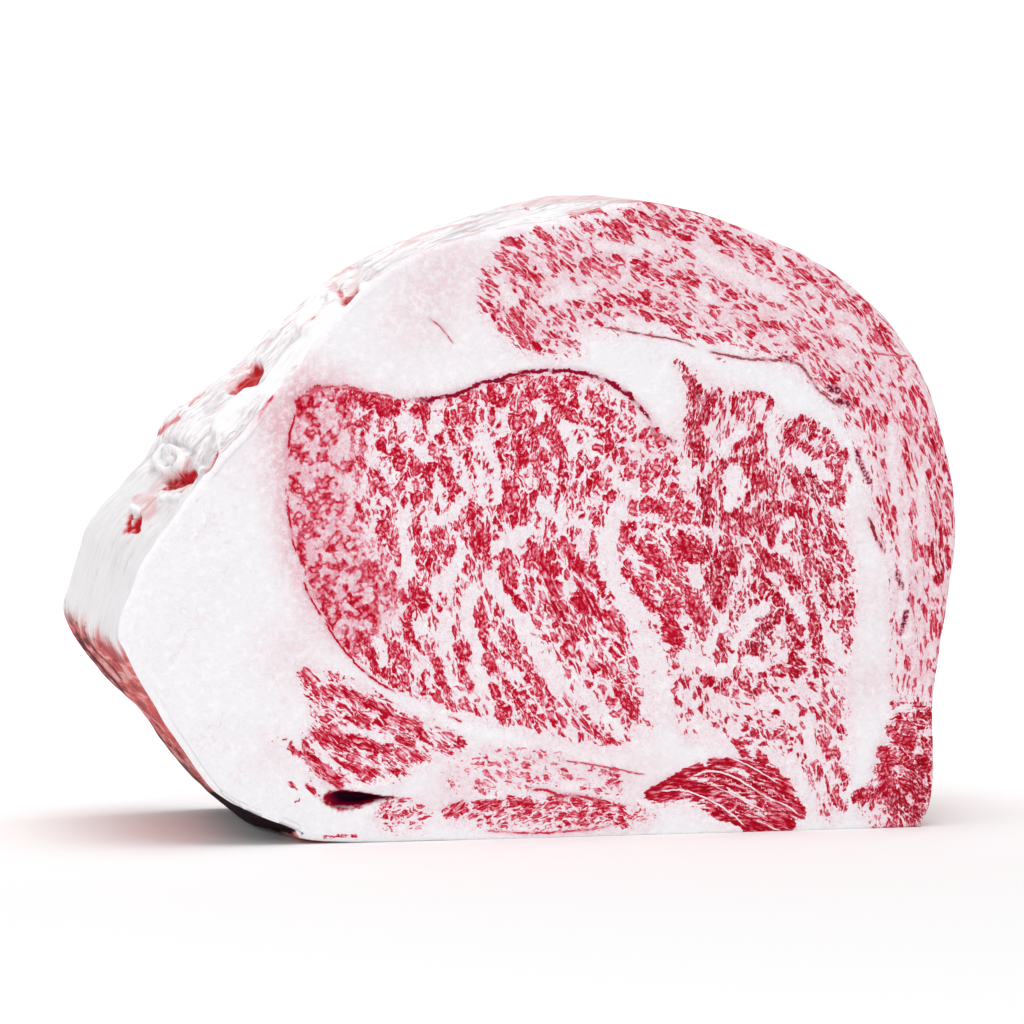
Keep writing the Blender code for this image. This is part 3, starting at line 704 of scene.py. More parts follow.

# Marks on the outer fat at the left: photo pixels, half width in pixels, kind, strength, height in mm. The
# grey kind is painted shade in creases and hollows and grey streaks elsewhere; the dark kind is painted
# shade in the pit, the slots and the gash, and the near-black band under the left corner.

sideMarks = {
    "long gash": [
        ([(239, 386), (247, 380), (254, 369)], 6.9, "red", 1, -2.5),
        ([(230, 391), (240, 389)], 2.5, "red", 0.9, -0.9), ([(246, 370), (258, 363)], 2.2, "red", 0.8, -1),
        ([(232, 378), (226, 388)], 3, "pink", 0.7, -0.6), ([(243, 364), (232, 372)], 4, "pink", 0.5, -0.8),
        ([(250, 378), (256, 368)], 1.5, "darkAndPaintedShade", 0.5, 0),
    ],
    "upper notch": [
        ([(345, 302), (351, 296), (357, 288)], 4, "red", 0.9, -1.8),
        ([(338, 290), (342, 300)], 2.8, "red", 0.55, -0.9),
        ([(356, 266), (354, 278), (347, 290)], 4, "pink", 0.5, -0.8),
    ],
    "lobe by the notch": [
        ([(308, 326), (318, 310), (326, 298)], 9, "white", 1, 2.2),
        ([(302, 335), (312, 328), (321, 319)], 2, "red", 0.55, -1),
        ([(321, 319), (328, 305), (332, 292)], 1.3, "red", 0.4, -1.4),
        ([(320, 295), (330, 292), (334, 286)], 4, "pink", 0.75, 0),
        ([(300, 335), (290, 342)], 1.5, "greyAndPaintedShade", 0.6, -0.8),
    ],
    "long lobe": [
        ([(268, 392), (288, 366), (312, 342), (338, 314), (366, 292)], 8, "white", 0.9, 1.3),
        ([(300, 352), (312, 340)], 1, "pink", 0.5, 0), ([(262, 385), (276, 366)], 1.2, "greyAndPaintedShade", 0.5, -0.7),
        ([(282, 372), (296, 358)], 2.5, "pink", 0.5, 0),
    ],
    "bulge above the rim notch": [
        ([(222, 428), (236, 412), (250, 398)], 9, "white", 0.9, 1.6),
        ([(212, 440), (214, 425)], 4, "greyAndPaintedShade", 0.5, -0.5),
    ],
    "rim notch": [
        ([(208, 471), (213, 462), (216, 452)], 3.2, "red", 0.85, -1.4),
        ([(203, 462), (209, 448)], 4, "greyAndPaintedShade", 0.8, -1),
        ([(222, 440), (219, 452), (216, 464)], 2, "white", 0.9, 1),
        ([(198, 468), (203, 472)], 3, "greyAndPaintedShade", 0.5, 0.4),
    ],
    "curled ring": [
        ([(159, 463), (162, 455), (171, 449), (180, 453), (183, 460), (177, 468), (166, 470),
            (159, 464)], 3.2, "white", 1, 2),
        ([(161, 466), (169, 465), (178, 466)], 1.1, "greyAndPaintedShade", 0.9, -1),
        ([(170, 459), (172, 460)], 3.5, "white", 0.7, 0.6),
        ([(150, 470), (156, 452), (168, 443), (184, 445), (192, 452)], 3, "greyAndPaintedShade", 0.7, -0.8),
    ],
    "pit under the ring": [
        ([(168, 482), (178, 480), (189, 473)], 6.2, "red", 1, -2.2),
        ([(158, 487), (170, 484)], 2, "red", 0.7, -1.2),
        ([(174, 495), (186, 487), (197, 474)], 1.4, "red", 0.6, -0.6),
        ([(168, 491), (182, 484)], 1.4, "red", 0.5, 0.5),
        ([(150, 492), (160, 478), (186, 462)], 5, "pink", 0.6, -0.8),
        ([(176, 478), (186, 476)], 2, "darkAndPaintedShade", 0.6, -0.6), ([(165, 498), (178, 497)], 3.5, "white", 0.9, 1),
    ],
    "fibrous patch": [
        ([(138, 500), (150, 499), (153, 507), (147, 516)], 5.5, "pink", 0.8, 0.3),
        ([(150, 501), (156, 499)], 3, "red", 0.3, 0), ([(143, 514), (150, 505)], 2, "red", 0.35, 0),
        ([(148, 530), (152, 524)], 1.8, "red", 0.3, 0), ([(134, 508), (141, 511)], 3, "white", 1, 1),
        ([(158, 506), (168, 508)], 4, "pink", 0.35, 0.3),
    ],
    "two slots": [
        ([(126, 527), (129, 516)], 2.5, "red", 1, -1.6), ([(134, 527), (138, 518)], 3.2, "red", 1.1, -1.8),
        ([(124, 531), (137, 530)], 3, "red", 0.6, -0.6), ([(134, 525), (136, 521)], 1.2, "darkAndPaintedShade", 0.5, 0),
        ([(131, 522), (132, 518)], 0.8, "pink", 0.5, 1),
    ],
    "streaks on the outline": [
        ([(157, 433), (167, 424), (178, 417)], 2.6, "red", 0.6, -0.6),
        ([(188, 405), (204, 392)], 1.6, "red", 0.55, -0.4), ([(143, 458), (155, 440)], 1.6, "red", 0.35, 0),
        ([(320, 281), (338, 273), (350, 266)], 1.8, "red", 0.45, -0.5),
        ([(257, 353), (266, 345), (273, 339)], 1.2, "pink", 0.8, 0),
        ([(280, 330), (290, 322)], 1, "pink", 0.7, 0), ([(300, 306), (318, 292)], 1.2, "greyAndPaintedShade", 0.4, 0),
        ([(205, 413), (222, 398)], 2.2, "greyAndPaintedShade", 0.6, -0.3),
        ([(203, 405), (216, 393)], 1.2, "pink", 0.6, -0.3), ([(184, 440), (192, 436)], 2, "pink", 0.5, 0),
        ([(366, 278), (374, 272), (370, 265)], 0.9, "pink", 0.6, -0.3),
        ([(376, 268), (379, 277)], 0.8, "pink", 0.5, 0.3),
    ],
    "strip along the top": [
        ([(470, 217), (500, 213), (540, 206), (580, 202), (600, 203)], 0.9, "greyAndPaintedShade", 0.9, 0.2),
        ([(525, 204), (560, 199), (602, 198), (640, 203)], 3.5, "pink", 0.7, 0),
        ([(400, 246), (425, 234), (452, 226), (478, 222)], 1.2, "pink", 0.8, 0.1),
        ([(428, 250), (455, 240), (485, 230)], 1, "greyAndPaintedShade", 0.7, 0.1),
        ([(462, 233), (480, 229)], 1, "red", 0.45, 0),
        ([(455, 217), (490, 209), (520, 203)], 2.2, "pink", 0.6, 0),
        ([(526, 209), (528, 210)], 1.2, "red", 0.7, 0),
        ([(606, 209), (630, 206), (648, 210), (664, 217)], 1.4, "red", 0.7, 0),
        ([(570, 212), (590, 209)], 3, "pink", 0.7, 0),
        ([(380, 262), (396, 250), (420, 240)], 1, "pink", 0.7, 0.1),
        ([(500, 224), (530, 217), (560, 213)], 1.4, "white", 0.8, 0.3),
    ],
    "under the left corner": [
        ([(78, 640), (94, 658), (110, 676), (124, 692)], 1.4, "darkAndPaintedShade", 0.7, 0),
        ([(92, 646), (108, 663), (122, 680)], 1.1, "darkAndPaintedShade", 0.65, 0),
        ([(86, 652), (102, 670), (116, 685)], 1.3, "greyAndPaintedShade", 0.8, 0),
        ([(114, 658), (126, 675), (138, 692)], 1, "darkAndPaintedShade", 0.5, 0),
        ([(128, 697), (140, 712), (150, 722)], 1.6, "greyAndPaintedShade", 0.8, 0),
        ([(156, 732), (168, 748), (182, 766)], 1.3, "darkAndPaintedShade", 0.6, 0),
        ([(150, 708), (164, 728), (182, 750)], 1.4, "red", 0.5, 0),
        ([(182, 764), (198, 782), (215, 797)], 2.4, "darkAndPaintedShade", 0.6, 0),
        ([(216, 799), (240, 812), (268, 822), (288, 826)], 7, "darkAndPaintedShade", 1.4, 0),
        ([(290, 826), (300, 824)], 4, "red", 0.9, 0),
    ],
}

painting = {
    "stray": 9,  # mm that the marbling strays sideways towards the back
    "straySize": 22,
    "clumpStrength": 1.0,
    "streamStrength": 2.3,
    "spotStrength": 0.75,
    # patterns of the eye muscle, laid as strokes: photo pixels, half width in pixels, reach in half widths
    "lacy": ([(310, 430), (314, 500), (326, 560), (350, 600)], 30, 2.2),
    "hatched": ([(560, 580), (575, 620), (600, 650), (570, 700)], 28, 1.8),
}

fibreGrid = {  # the grid on which the fibres' directions are worked out, mm
    "low": (-120.0, -6.0),
    "step": 1.5,
    "cells": (160, 120),
    "softness": 30,
    "falloff": 1.7,
    "through": 9,  # length of a bundle through the thickness
}


def nearLine(points, line, wide, reach=1.5):  # 1 on the line, easing to 0 at reach half widths
    low, high = line.min(0) - reach * wide, line.max(0) + reach * wide
    near = np.flatnonzero(((points > low) & (points < high)).all(1))
    strength = np.zeros(len(points))
    if len(near):
        distance = np.abs(nearestOnLine(points[near], line)[0]) / wide
        strength[near] = 1 - smoothStep(0.55, reach, distance)
    return strength


def strokeStrength(points, pixelLine, halfWidth, reach=1.5):  # the same for a stroke on the cut face
    return nearLine(points, smoothLine(photoToFace(pixelLine), 4), halfWidth * pixelSize, reach)


def spotStrength(points, centre, radius):  # 1 at the centre, fading like a bell
    distance = np.hypot(*(points - photoToFace(centre)).T) / (radius * pixelSize)
    return np.exp(-(distance**2))


def leanOfFibres(samples, x, z):  # mean of the samples, by 1 / (distance squared + softness) ** falloff
    where = photoToFace(samples[:, :2])
    double = 2 * np.radians(samples[:, 2])
    away = (x[..., None] - where[:, 0]) ** 2 + (z[..., None] - where[:, 1]) ** 2
    weight = 1 / (away + fibreGrid["softness"]) ** fibreGrid["falloff"]
    lean = np.arctan2((weight * np.sin(double)).sum(-1), (weight * np.cos(double)).sum(-1)) / 2
    usual = np.arctan2(np.sin(double).sum(), np.cos(double).sum()) / 2
    return lean + np.pi * (np.cos(lean - usual) < 0)


def fieldOfSlopes(sx, sz, step):  # the smooth field whose slopes fit sx and sz best, as a sum of waves
    across, up = sx.shape
    # mirrored so that the field is even at the borders, its slopes odd
    sx = np.concatenate([sx, -sx[::-1]])
    sx = np.concatenate([sx, sx[:, ::-1]], 1)
    sz = np.concatenate([sz, sz[::-1]])
    sz = np.concatenate([sz, -sz[:, ::-1]], 1)
    kx = np.fft.fftfreq(2 * across, step)[:, None] * 2 * np.pi
    kz = np.fft.fftfreq(2 * up, step)[None] * 2 * np.pi
    square = kx**2 + kz**2
    square[0, 0] = 1
    wave = -1j * (kx * np.fft.fft2(sx) + kz * np.fft.fft2(sz)) / square
    return np.fft.ifft2(wave).real[:across, :up]


def readGrid(values, at):  # linear between the grid's cells
    cell = np.clip(np.floor(at).astype(int), 0, np.array(values.shape) - 2)
    u, v = np.clip(at - cell, 0, 1).T
    i, j = cell.T
    low = (1 - u) * (1 - v) * values[i, j] + u * (1 - v) * values[i + 1, j]
    return low + (1 - u) * v * values[i, j + 1] + u * v * values[i + 1, j + 1]


def fibreField(spec, points):  # two smooth coordinates for each point, across and along the fibres
    low, step = np.array(fibreGrid["low"]), fibreGrid["step"]
    ticks = [low[k] + step * (np.arange(count) + 0.5) for k, count in enumerate(fibreGrid["cells"])]
    lean = leanOfFibres(np.array(spec["fibres"], float), *np.meshgrid(*ticks, indexing="ij"))
    at = (points - low) / step - 0.5
    across = fieldOfSlopes(np.cos(lean), np.sin(lean), step)
    along = fieldOfSlopes(np.sin(lean), -np.cos(lean), step)
    return np.stack([readGrid(across, at), readGrid(along, at)], 1)


def paintLines(points):  # half widths from each point to the nearest thin line, its tint and strength
    across, tint, strength = np.full(len(points), 9.0), np.zeros(len(points)), np.zeros(len(points))
    for line, width, lineTint in fineLines.values():
        curve = smoothLine(photoToFace(line), 5)
        away, along = nearestOnLine(points, curve)
        share = along / distancesAlong(curve)[-1]
        nearer = np.abs(away) < np.abs(across) * pixelSize * 1.2
        across = np.where(nearer, away / (width * pixelSize), across)
        tint = np.where(nearer, lineTint, tint)
        fade = smoothStep(0, 0.12, share) * smoothStep(1, 0.85, share)
        close = 1 - smoothStep(1.1, 1.9, np.abs(away))
        strength = np.where(nearer, fade * close, strength)
    return across, tint, strength


def paintSkin(skin):  # every value that the materials read, one for each vertex
    stray = [roughNoise(skin.section, painting["straySize"], seed) for seed in (3, 9)]
    stray = np.stack(stray, 1) * painting["stray"]
    points = skin.section + stray * smoothStep(20, 90, skin.depth)[:, None]
    depths = np.stack([depthInside(points, smoothLoop(spec["outline"], 8)) for spec in muscles.values()])
    muscle, edge = depths.argmax(0), depths.max(0)
    inEye = muscle == list(muscles).index("eye_muscle")

    def pick(key):  # a value of the muscle that each point is in
        return np.array([spec[key] for spec in muscles.values()], float)[muscle]

    x, z = points.T
    soft = np.maximum(pick("soft"), 0.6 * smoothStep(20, 34, x) * inEye * smoothStep(100, 85, z))
    red, white, bruise = np.zeros(len(points)), np.zeros(len(points)), np.zeros(len(points))
    deep = pick("deep")
    for strokes in clumps.values():
        for line, width, tone in strokes:
            strength = strokeStrength(points, line, width)
            red = np.maximum(red, strength)
            deep = deep + np.clip(strength - 0.2, 0, 1) * (tone - 0.45) * 0.9
    for strokes in streams.values():
        for line, width in strokes:
            white = np.maximum(white, strokeStrength(points, line, width))
    for line, width in bruises:
        bruise = np.maximum(bruise, strokeStrength(points, line, width, 1.8))
    lacy = strokeStrength(points, *painting["lacy"]) * inEye
    # a clump that reaches past the muscle's border carries the border with it
    edge = np.where(red > 0.15, np.maximum(edge, 3 * (red - 0.45)), edge)
    amount = pick("meat") + painting["clumpStrength"] * red
    amount = amount - painting["streamStrength"] * white * (1 - 0.4 * red)
    for centre, radius, change in densities:
        change = painting["spotStrength"] * change
        amount = amount + change * spotStrength(points, centre, radius) * (edge > -1)
    blush = pick("ground") * smoothStep(-0.5, 5, edge) + 0.75 * lacy - 0.3 * white
    for centre, radius, strength in blushes:
        blush += strength * spotStrength(points, centre, radius)
    lineAcross, lineTint, lineStrength = paintLines(points)
    # the low band at the left that turns under, with a wavy upper border
    x, z = skin.section.T
    wavy = 2.5 * softNoise(np.stack([0.3 * skin.girth, skin.depth], 1), 5, 61)
    skin.values = {
        "under": smoothStep(56, 44, z + wavy) * smoothStep(-52, -64, x),
        "lower": smoothStep(105, 80, z) * smoothStep(0, -40, x),
        "amount": amount,
        "edge": np.clip(edge, -8, 8),
        "deep": np.clip(deep, 0, 2),
        "net": np.maximum(pick("net"), lacy),
        "blush": np.clip(blush, 0, 1),
        "soft": soft,
        "hatch": np.maximum(pick("hatch"), 0.9 * strokeStrength(points, *painting["hatched"])),
        "lineAcross": np.clip(lineAcross, -12, 12),
        "lineTint": lineTint,
        "lineStrength": lineStrength,
        "bruise": bruise,
    }
    skin.points, skin.muscleDepths = points, depths
    skin.fibre = np.stack([
        fibreField(spec, points) / np.array(spec["grain"]) + 37.0 * k
        for k, spec in enumerate(muscles.values())
    ])


paintSkin(skin)
print("painted:", ", ".join(skin.values))


# Relief. On the cut face it is a height towards the viewer, on the side a height along the outward normal.

relief = {  # mm
    "waves": 0.45,
    "leanLower": 0.25,  # how far the lean lies below the fat
    "borderGroove": 0.3,
    "roughness": 0.16,
    "leanRoughness": 0.22,
    "pleats": 4,  # folds of the side from front to back
    "pleatDepth": 0.5,
    # ridges of the cut face: photo pixels, half width in pixels, height
    "ridges": {
        "under the eye": ([(300, 590), (345, 652), (400, 702), (480, 737), (560, 757), (620, 771)], 5, 0.8),
        "over the pit": ([(308, 768), (330, 782), (360, 787), (396, 782)], 3.5, 0.9),
    },
    # depth of the cracks along some of the thin lines
    "gaps": {"crack": 0.7, "under the cap": 0.35, "membrane over the eye": 0.35, "fold by the cap": 0.5},
}


def faceRelief(skin):  # soft waves, lean a little lower than fat, grooves at the borders, ridges and cracks
    sign = np.where(skin.kind == kinds["back"], -1, 1)
    x, z = skin.section.T * sign
    waves = 0.5 * np.sin(x / 11 + 1.3 * np.sin(z / 17))
    waves = waves + 0.3 * np.sin(z / 7 + x / 19) + 0.2 * np.sin(x / 5 - z / 6)
    edge = skin.values["edge"]
    height = relief["waves"] * waves
    height -= relief["leanLower"] * smoothStep(-0.3, 1.5, edge)
    height -= relief["borderGroove"] * np.exp(-((edge / 0.7) ** 2))
    height += relief["roughness"] * roughNoise(skin.points, 5, 2)
    height += relief["leanRoughness"] * roughNoise(skin.points, 2.2, 5, 2) * smoothStep(-0.2, 0.5, edge)
    for line, width, rise in relief["ridges"].values():
        height += rise * strokeStrength(skin.points, line, width, 2.2)
    for name, depth in relief["gaps"].items():
        line, width, _ = fineLines[name]
        height -= depth * strokeStrength(skin.points, line, width + 1.5, 1.8)
    return height


def sideRelief(skin):  # pleats as in part.py, long streaks along the outline, crumpled fat at the left
    x, z = skin.section.T
    share = skin.depth / steakShape["thickness"]
    phase = (share + 0.06 * np.sin(x / 21) + 0.04 * np.sin(z / 13)) * 2 * np.pi * relief["pleats"]
    height = -relief["pleatDepth"] * (0.5 + 0.5 * np.sin(phase)) * np.sin(np.pi * share)
    along = np.stack([skin.girth, skin.depth], 1)
    streaks = roughNoise(along * [1 / 5.5, 1], 3.4, 21)
    streaks = streaks + 0.6 * roughNoise(along * [1 / 4, 1] + 50, 1.9, 27, 2)
    leftFat = smoothStep(-20, -55, x) * smoothStep(62, 80, z)
    topFat = smoothStep(60, 20, x) * smoothStep(120, 150, z)
    height += streaks * (0.35 + 0.45 * leftFat + 0.25 * topFat)
    crumple = roughNoise(along + 0.8 * streaks[:, None] * [3, 1], 7, 31, 4)
    height += crumple * (0.2 + 0.45 * leftFat)
    flat = smoothStep(4, 1, z)
    smooth = 0.75 * smoothStep(60, 44, z) * smoothStep(-45, -60, x)
    return height * (1 - flat) * (1 - smooth)


def markSide(skin, places):  # the marks' values for the materials, and their height
    outward = np.stack([skin.outward[:, 0], np.zeros(len(places)), skin.outward[:, 1]], 1)
    seen = (skin.kind == kinds["side"]) & (outward @ cameraAxes()[2] > -0.12) & (places[:, 0] < 30)
    pixels = photoPixels(places[seen])
    pixels += 1.1 * np.stack([roughNoise(pixels, 8, 51, 2), roughNoise(pixels, 8, 54, 2)], 1)
    height = np.zeros(len(places))
    # the grey and dark kinds are partly painted shade: grey in creases and hollows, dark in the pit, the
    # slots and the gash
    for kind in ("red", "pink", "greyAndPaintedShade", "white", "darkAndPaintedShade"):
        skin.values[kind] = np.zeros(len(places))
    for marks in sideMarks.values():
        for line, width, kind, strength, high in marks:
            share = nearLine(pixels, smoothLine(line, 4), width, 1.6)
            skin.values[kind][seen] = np.maximum(skin.values[kind][seen], strength * share)
            height[seen] += high * share
    return height


def tearFacePit(places, values):  # the cut face falls back inside the pit's outline
    half = np.array(facePit["half"])
    r = (places - np.array(facePit["centre"])) / half
    wedge = np.clip(1 - 0.75 * (r[:, 0] + 0.35), 0.28, 1.25)  # it narrows to the right, and its top is flat
    r[:, 2] = (r[:, 2] + 0.12 * r[:, 0]) / wedge / np.where(r[:, 2] > 0, 0.62, 1.15)
    distance = np.hypot(r[:, 0], r[:, 2]) * (1 + 0.2 * roughNoise(places, 2.6, 41))
    onFace = places[:, 1] < -40
    places[:, 1] += np.where(onFace, half[1] * np.clip(1 - distance**2, 0, 1) ** 0.45, 0)
    values["pitRim"] = np.where(onFace, 1 - smoothStep(0.7, 1.5, distance), 0)
    values["pit"] = np.where(onFace, 1 - smoothStep(0.4, 1.0, distance), 0)
    return places


def rimFade(skin):  # the face's relief dies out over the last few mm before its rim
    fade = np.zeros(len(skin.section))
    across, up = steakShape["frontCells"]
    for kind, a, u, steps in (("front", across, up, 4), ("back", across // 2, up // 2, 2)):
        mine = np.flatnonzero(skin.kind == kinds[kind])
        row, column = np.divmod(np.arange(len(mine)), a + 1)
        inward = np.minimum(np.minimum(row, u - row), np.minimum(column, a - column))
        fade[mine] = smoothStep(0, steps, inward)
    return fade


def placesOfSkin(skin):
    thickness = steakShape["thickness"]
    side = skin.kind == kinds["side"]
    rounding = np.minimum(skin.depth, thickness - skin.depth)
    height = np.where(side, sideRelief(skin) * smoothStep(0, 3, rounding), 0)
    section = drifted(skin.section + skin.outward * height[:, None], skin.depth / thickness)
    section[:, 1] = np.maximum(section[:, 1], 0)
    towards = np.where(skin.kind == kinds["back"], 1, -1)
    rise = np.where(side, 0, faceRelief(skin)) * towards * rimFade(skin)
    places = np.stack([section[:, 0], skin.depth - thickness / 2 + rise, section[:, 1]], 1)
    bump = np.where(side, markSide(skin, places) * smoothStep(0.2, 2, rounding), 0)
    places[:, [0, 2]] += skin.outward * bump[:, None]
    places = tearFacePit(places, skin.values)
    places[:, 2] = np.maximum(places[:, 2], 0)
    return places


def cornerValues(skin, corner, face, first):  # values for a face's own corners, so that muscles don't mix
    muscle = np.stack([np.add.reduceat(depths[corner], first) for depths in skin.muscleDepths]).argmax(0)
    fibre = np.empty((len(corner), 3))
    fibre[:, :2] = skin.fibre[muscle[face], corner]
    fibre[:, 2] = skin.depth[corner] / fibreGrid["through"]
    girth = skin.girth[corner]
    most = np.maximum.reduceat(girth, first)[face]
    girth = np.where(most - girth > skin.girthAll / 2, girth + skin.girthAll, girth)
    return {"fibre": fibre, "band": np.stack([girth, skin.depth[corner], skin.points[corner, 0]], 1)}


def facesOnSide(skin, corner, first, total):  # faces beyond the first part of the rounded rim
    least = np.minimum.reduceat(skin.kind[corner], first)
    most = np.maximum.reduceat(skin.kind[corner], first)
    depth = np.add.reduceat(skin.depth[corner], first) / total
    turned = steakShape["edgeRound"] * 0.45
    between = (depth > turned) & (depth < steakShape["thickness"] - turned)
    return (least == kinds["side"]) & (most == kinds["side"]) & between


def makeMesh(skin, places):
    mesh = bpy.data.meshes.new("steak")
    mesh.from_pydata((places * mm).tolist(), [], skin.quads.tolist() + skin.triangles.tolist())
    corner = np.empty(len(mesh.loops), np.int32)
    mesh.loops.foreach_get("vertex_index", corner)
    total = np.empty(len(mesh.polygons), np.int32)
    mesh.polygons.foreach_get("loop_total", total)
    face = np.repeat(np.arange(len(total)), total)
    first = np.concatenate([[0], np.cumsum(total)])[:-1]
    for name, data in cornerValues(skin, corner, face, first).items():
        store = mesh.attributes.new(name, "FLOAT_VECTOR", "CORNER")
        store.data.foreach_set("vector", data.astype(np.float32).ravel())
    for name, data in skin.values.items():
        store = mesh.attributes.new(name, "FLOAT", "POINT")
        store.data.foreach_set("value", data.astype(np.float32))
    onSide = facesOnSide(skin, corner, first, total)
    mesh.polygons.foreach_set("material_index", onSide.astype(np.int32))
    mesh.polygons.foreach_set("use_smooth", np.ones(len(total), bool))
    mesh.update()
    return mesh


places = placesOfSkin(skin)
steak = bpy.data.objects.new("steak", makeMesh(skin, places))
bpy.context.scene.collection.objects.link(steak)
print("steak mesh:", len(steak.data.polygons), "faces")


# Materials

class Shade:  # a value inside a material: + - * and abs add the node that works it out
    def __init__(self, socket):
        self.socket = socket
        self.tree = socket.id_data

    def beside(self, output):  # another output of the same node
        return Shade(self.socket.node.outputs[output])

    def maths(self, operation, *others):
        return addNode(self.tree, "ShaderNodeMath", dict(enumerate((self, *others))), operation=operation)

    def __add__(self, other):
        return self.maths("ADD", other)

    def __sub__(self, other):
        return self.maths("SUBTRACT", other)

    def __mul__(self, other):
        return self.maths("MULTIPLY", other)

    def __abs__(self):
        return self.maths("ABSOLUTE")

    def atLeast(self, other):
        return self.maths("MAXIMUM", other)


def plug(value, socket):  # links a shade; anything else becomes the socket's own value
    if isinstance(value, Shade):
        socket.id_data.links.new(value.socket, socket)
    else:
        socket.default_value = value


def addNode(tree, kind, inputs, output=0, **settings):  # returns one output of the new node
    node = tree.nodes.new(kind)
    for name, setting in settings.items():
        setattr(node, name, setting)
    for name, value in inputs.items():
        plug(value, node.inputs[name])
    return Shade(node.outputs[output])


def band(value, low, high, lowResult=0.0, highResult=1.0):  # smooth change of value from low to high
    inputs = {"Value": value, "From Min": low, "From Max": high, "To Min": lowResult, "To Max": highResult}
    return addNode(value.tree, "ShaderNodeMapRange", inputs, interpolation_type="SMOOTHSTEP")


def blend(share, first, second, how="MIX"):
    inputs = {0: share, 6: first, 7: second}
    tree = next(value.tree for value in inputs.values() if isinstance(value, Shade))
    return addNode(tree, "ShaderNodeMix", inputs, 2, data_type="RGBA", blend_type=how)


def mixed(share, first, second):  # the same for numbers
    return addNode(share.tree, "ShaderNodeMix", {0: share, 2: first, 3: second}, data_type="FLOAT")


def ramp(value, stops):  # a colour for each value, from pairs of position and colour name
    colours = addNode(value.tree, "ShaderNodeValToRGB", {0: value})
    elements = colours.socket.node.color_ramp.elements
    while len(elements) < len(stops):
        elements.new(0.5)
    for element, (position, name) in zip(elements, stops):
        element.position = position
        element.color = colour[name]
    return colours


def stretched(vector, scale, move=(0, 0, 0)):
    return addNode(vector.tree, "ShaderNodeMapping", {"Vector": vector, "Scale": scale, "Location": move})


def bentBy(vector, noiseColour, strength, middle=0.5):  # vector + (noise - middle) * strength
    tree, kind = vector.tree, "ShaderNodeVectorMath"
    away = addNode(tree, kind, {0: noiseColour, 1: (middle, middle, middle)}, operation="SUBTRACT")
    away = addNode(tree, kind, {0: away, 1: strength}, operation="MULTIPLY")
    return addNode(tree, kind, {0: vector, 1: away}, operation="ADD")


def attribute(tree, name, output="Fac"):
    return addNode(tree, "ShaderNodeAttribute", {}, output, attribute_name=name)


def newMaterial(name):
    material = bpy.data.materials.new(name)
    material.use_nodes = True
    return material, material.node_tree, material.node_tree.nodes["Principled BSDF"].inputs


pictureColours = {  # as the photo shows them, 0 to 255
    # the cut face
    "fat": (247, 246, 249), "warmFat": (247, 236, 241), "fatSpeck": (254, 253, 254),
    "fatGrain": (234, 206, 215), "coolGrain": (230, 230, 235),
    "pale": (243, 210, 221), "rosy": (236, 161, 176), "rose": (220, 92, 114),
    "crimson": (196, 18, 48), "deepCrimson": (176, 0, 28),
    "membrane": (150, 6, 44), "brown": (160, 84, 88), "bruise": (122, 24, 56),
    # glint: the white of the painted highlights
    "pitRed": (134, 0, 52), "pitDark": (36, 2, 26), "paintedGlint": (255, 252, 253),
    # the outer side
    "paperShade": (190, 184, 190), "paperGrey": (222, 217, 221), "paper": (244, 242, 244),
    "paperLight": (252, 251, 252), "paperRosy": (226, 214, 219), "paperBlush": (240, 214, 217),
    "threadDark": (170, 164, 172), "threadGrey": (186, 178, 184), "threadRosy": (210, 156, 162),
    "fleshRed": (186, 26, 52), "fleshRose": (206, 66, 88),
    "markPink": (232, 116, 116), "markRed": (208, 32, 42), "markDeep": (186, 8, 24),
    "underPale": (228, 178, 174), "underDusky": (70, 34, 40),
    # marks of the outer side, named as their values are; the grey and the dark are partly painted shade in
    # creases and hollows
    "lower": (227, 225, 227), "greyAndPaintedShade": (198, 196, 200), "pink": (220, 156, 160), "white": (250, 249, 250),
    "under": (212, 104, 104), "darkAndPaintedShade": (38, 6, 22),
}


def linear(picture):  # to the values that a shader takes: ((c / 255 + 0.055) / 1.055) ** 2.4 above 10
    return tuple(((c / 255 + 0.055) / 1.055) ** 2.4 if c > 10 else c / 255 / 12.92 for c in picture) + (1,)


colour = {name: linear(picture) for name, picture in pictureColours.items()}

tints = {  # what they leave of red, green and blue
    "deep": (0.68, 0.62, 0.62, 1),
    "blush": (0.88, 0.56, 0.61, 1),
    "halo": (0.93, 0.60, 0.67, 1),
}

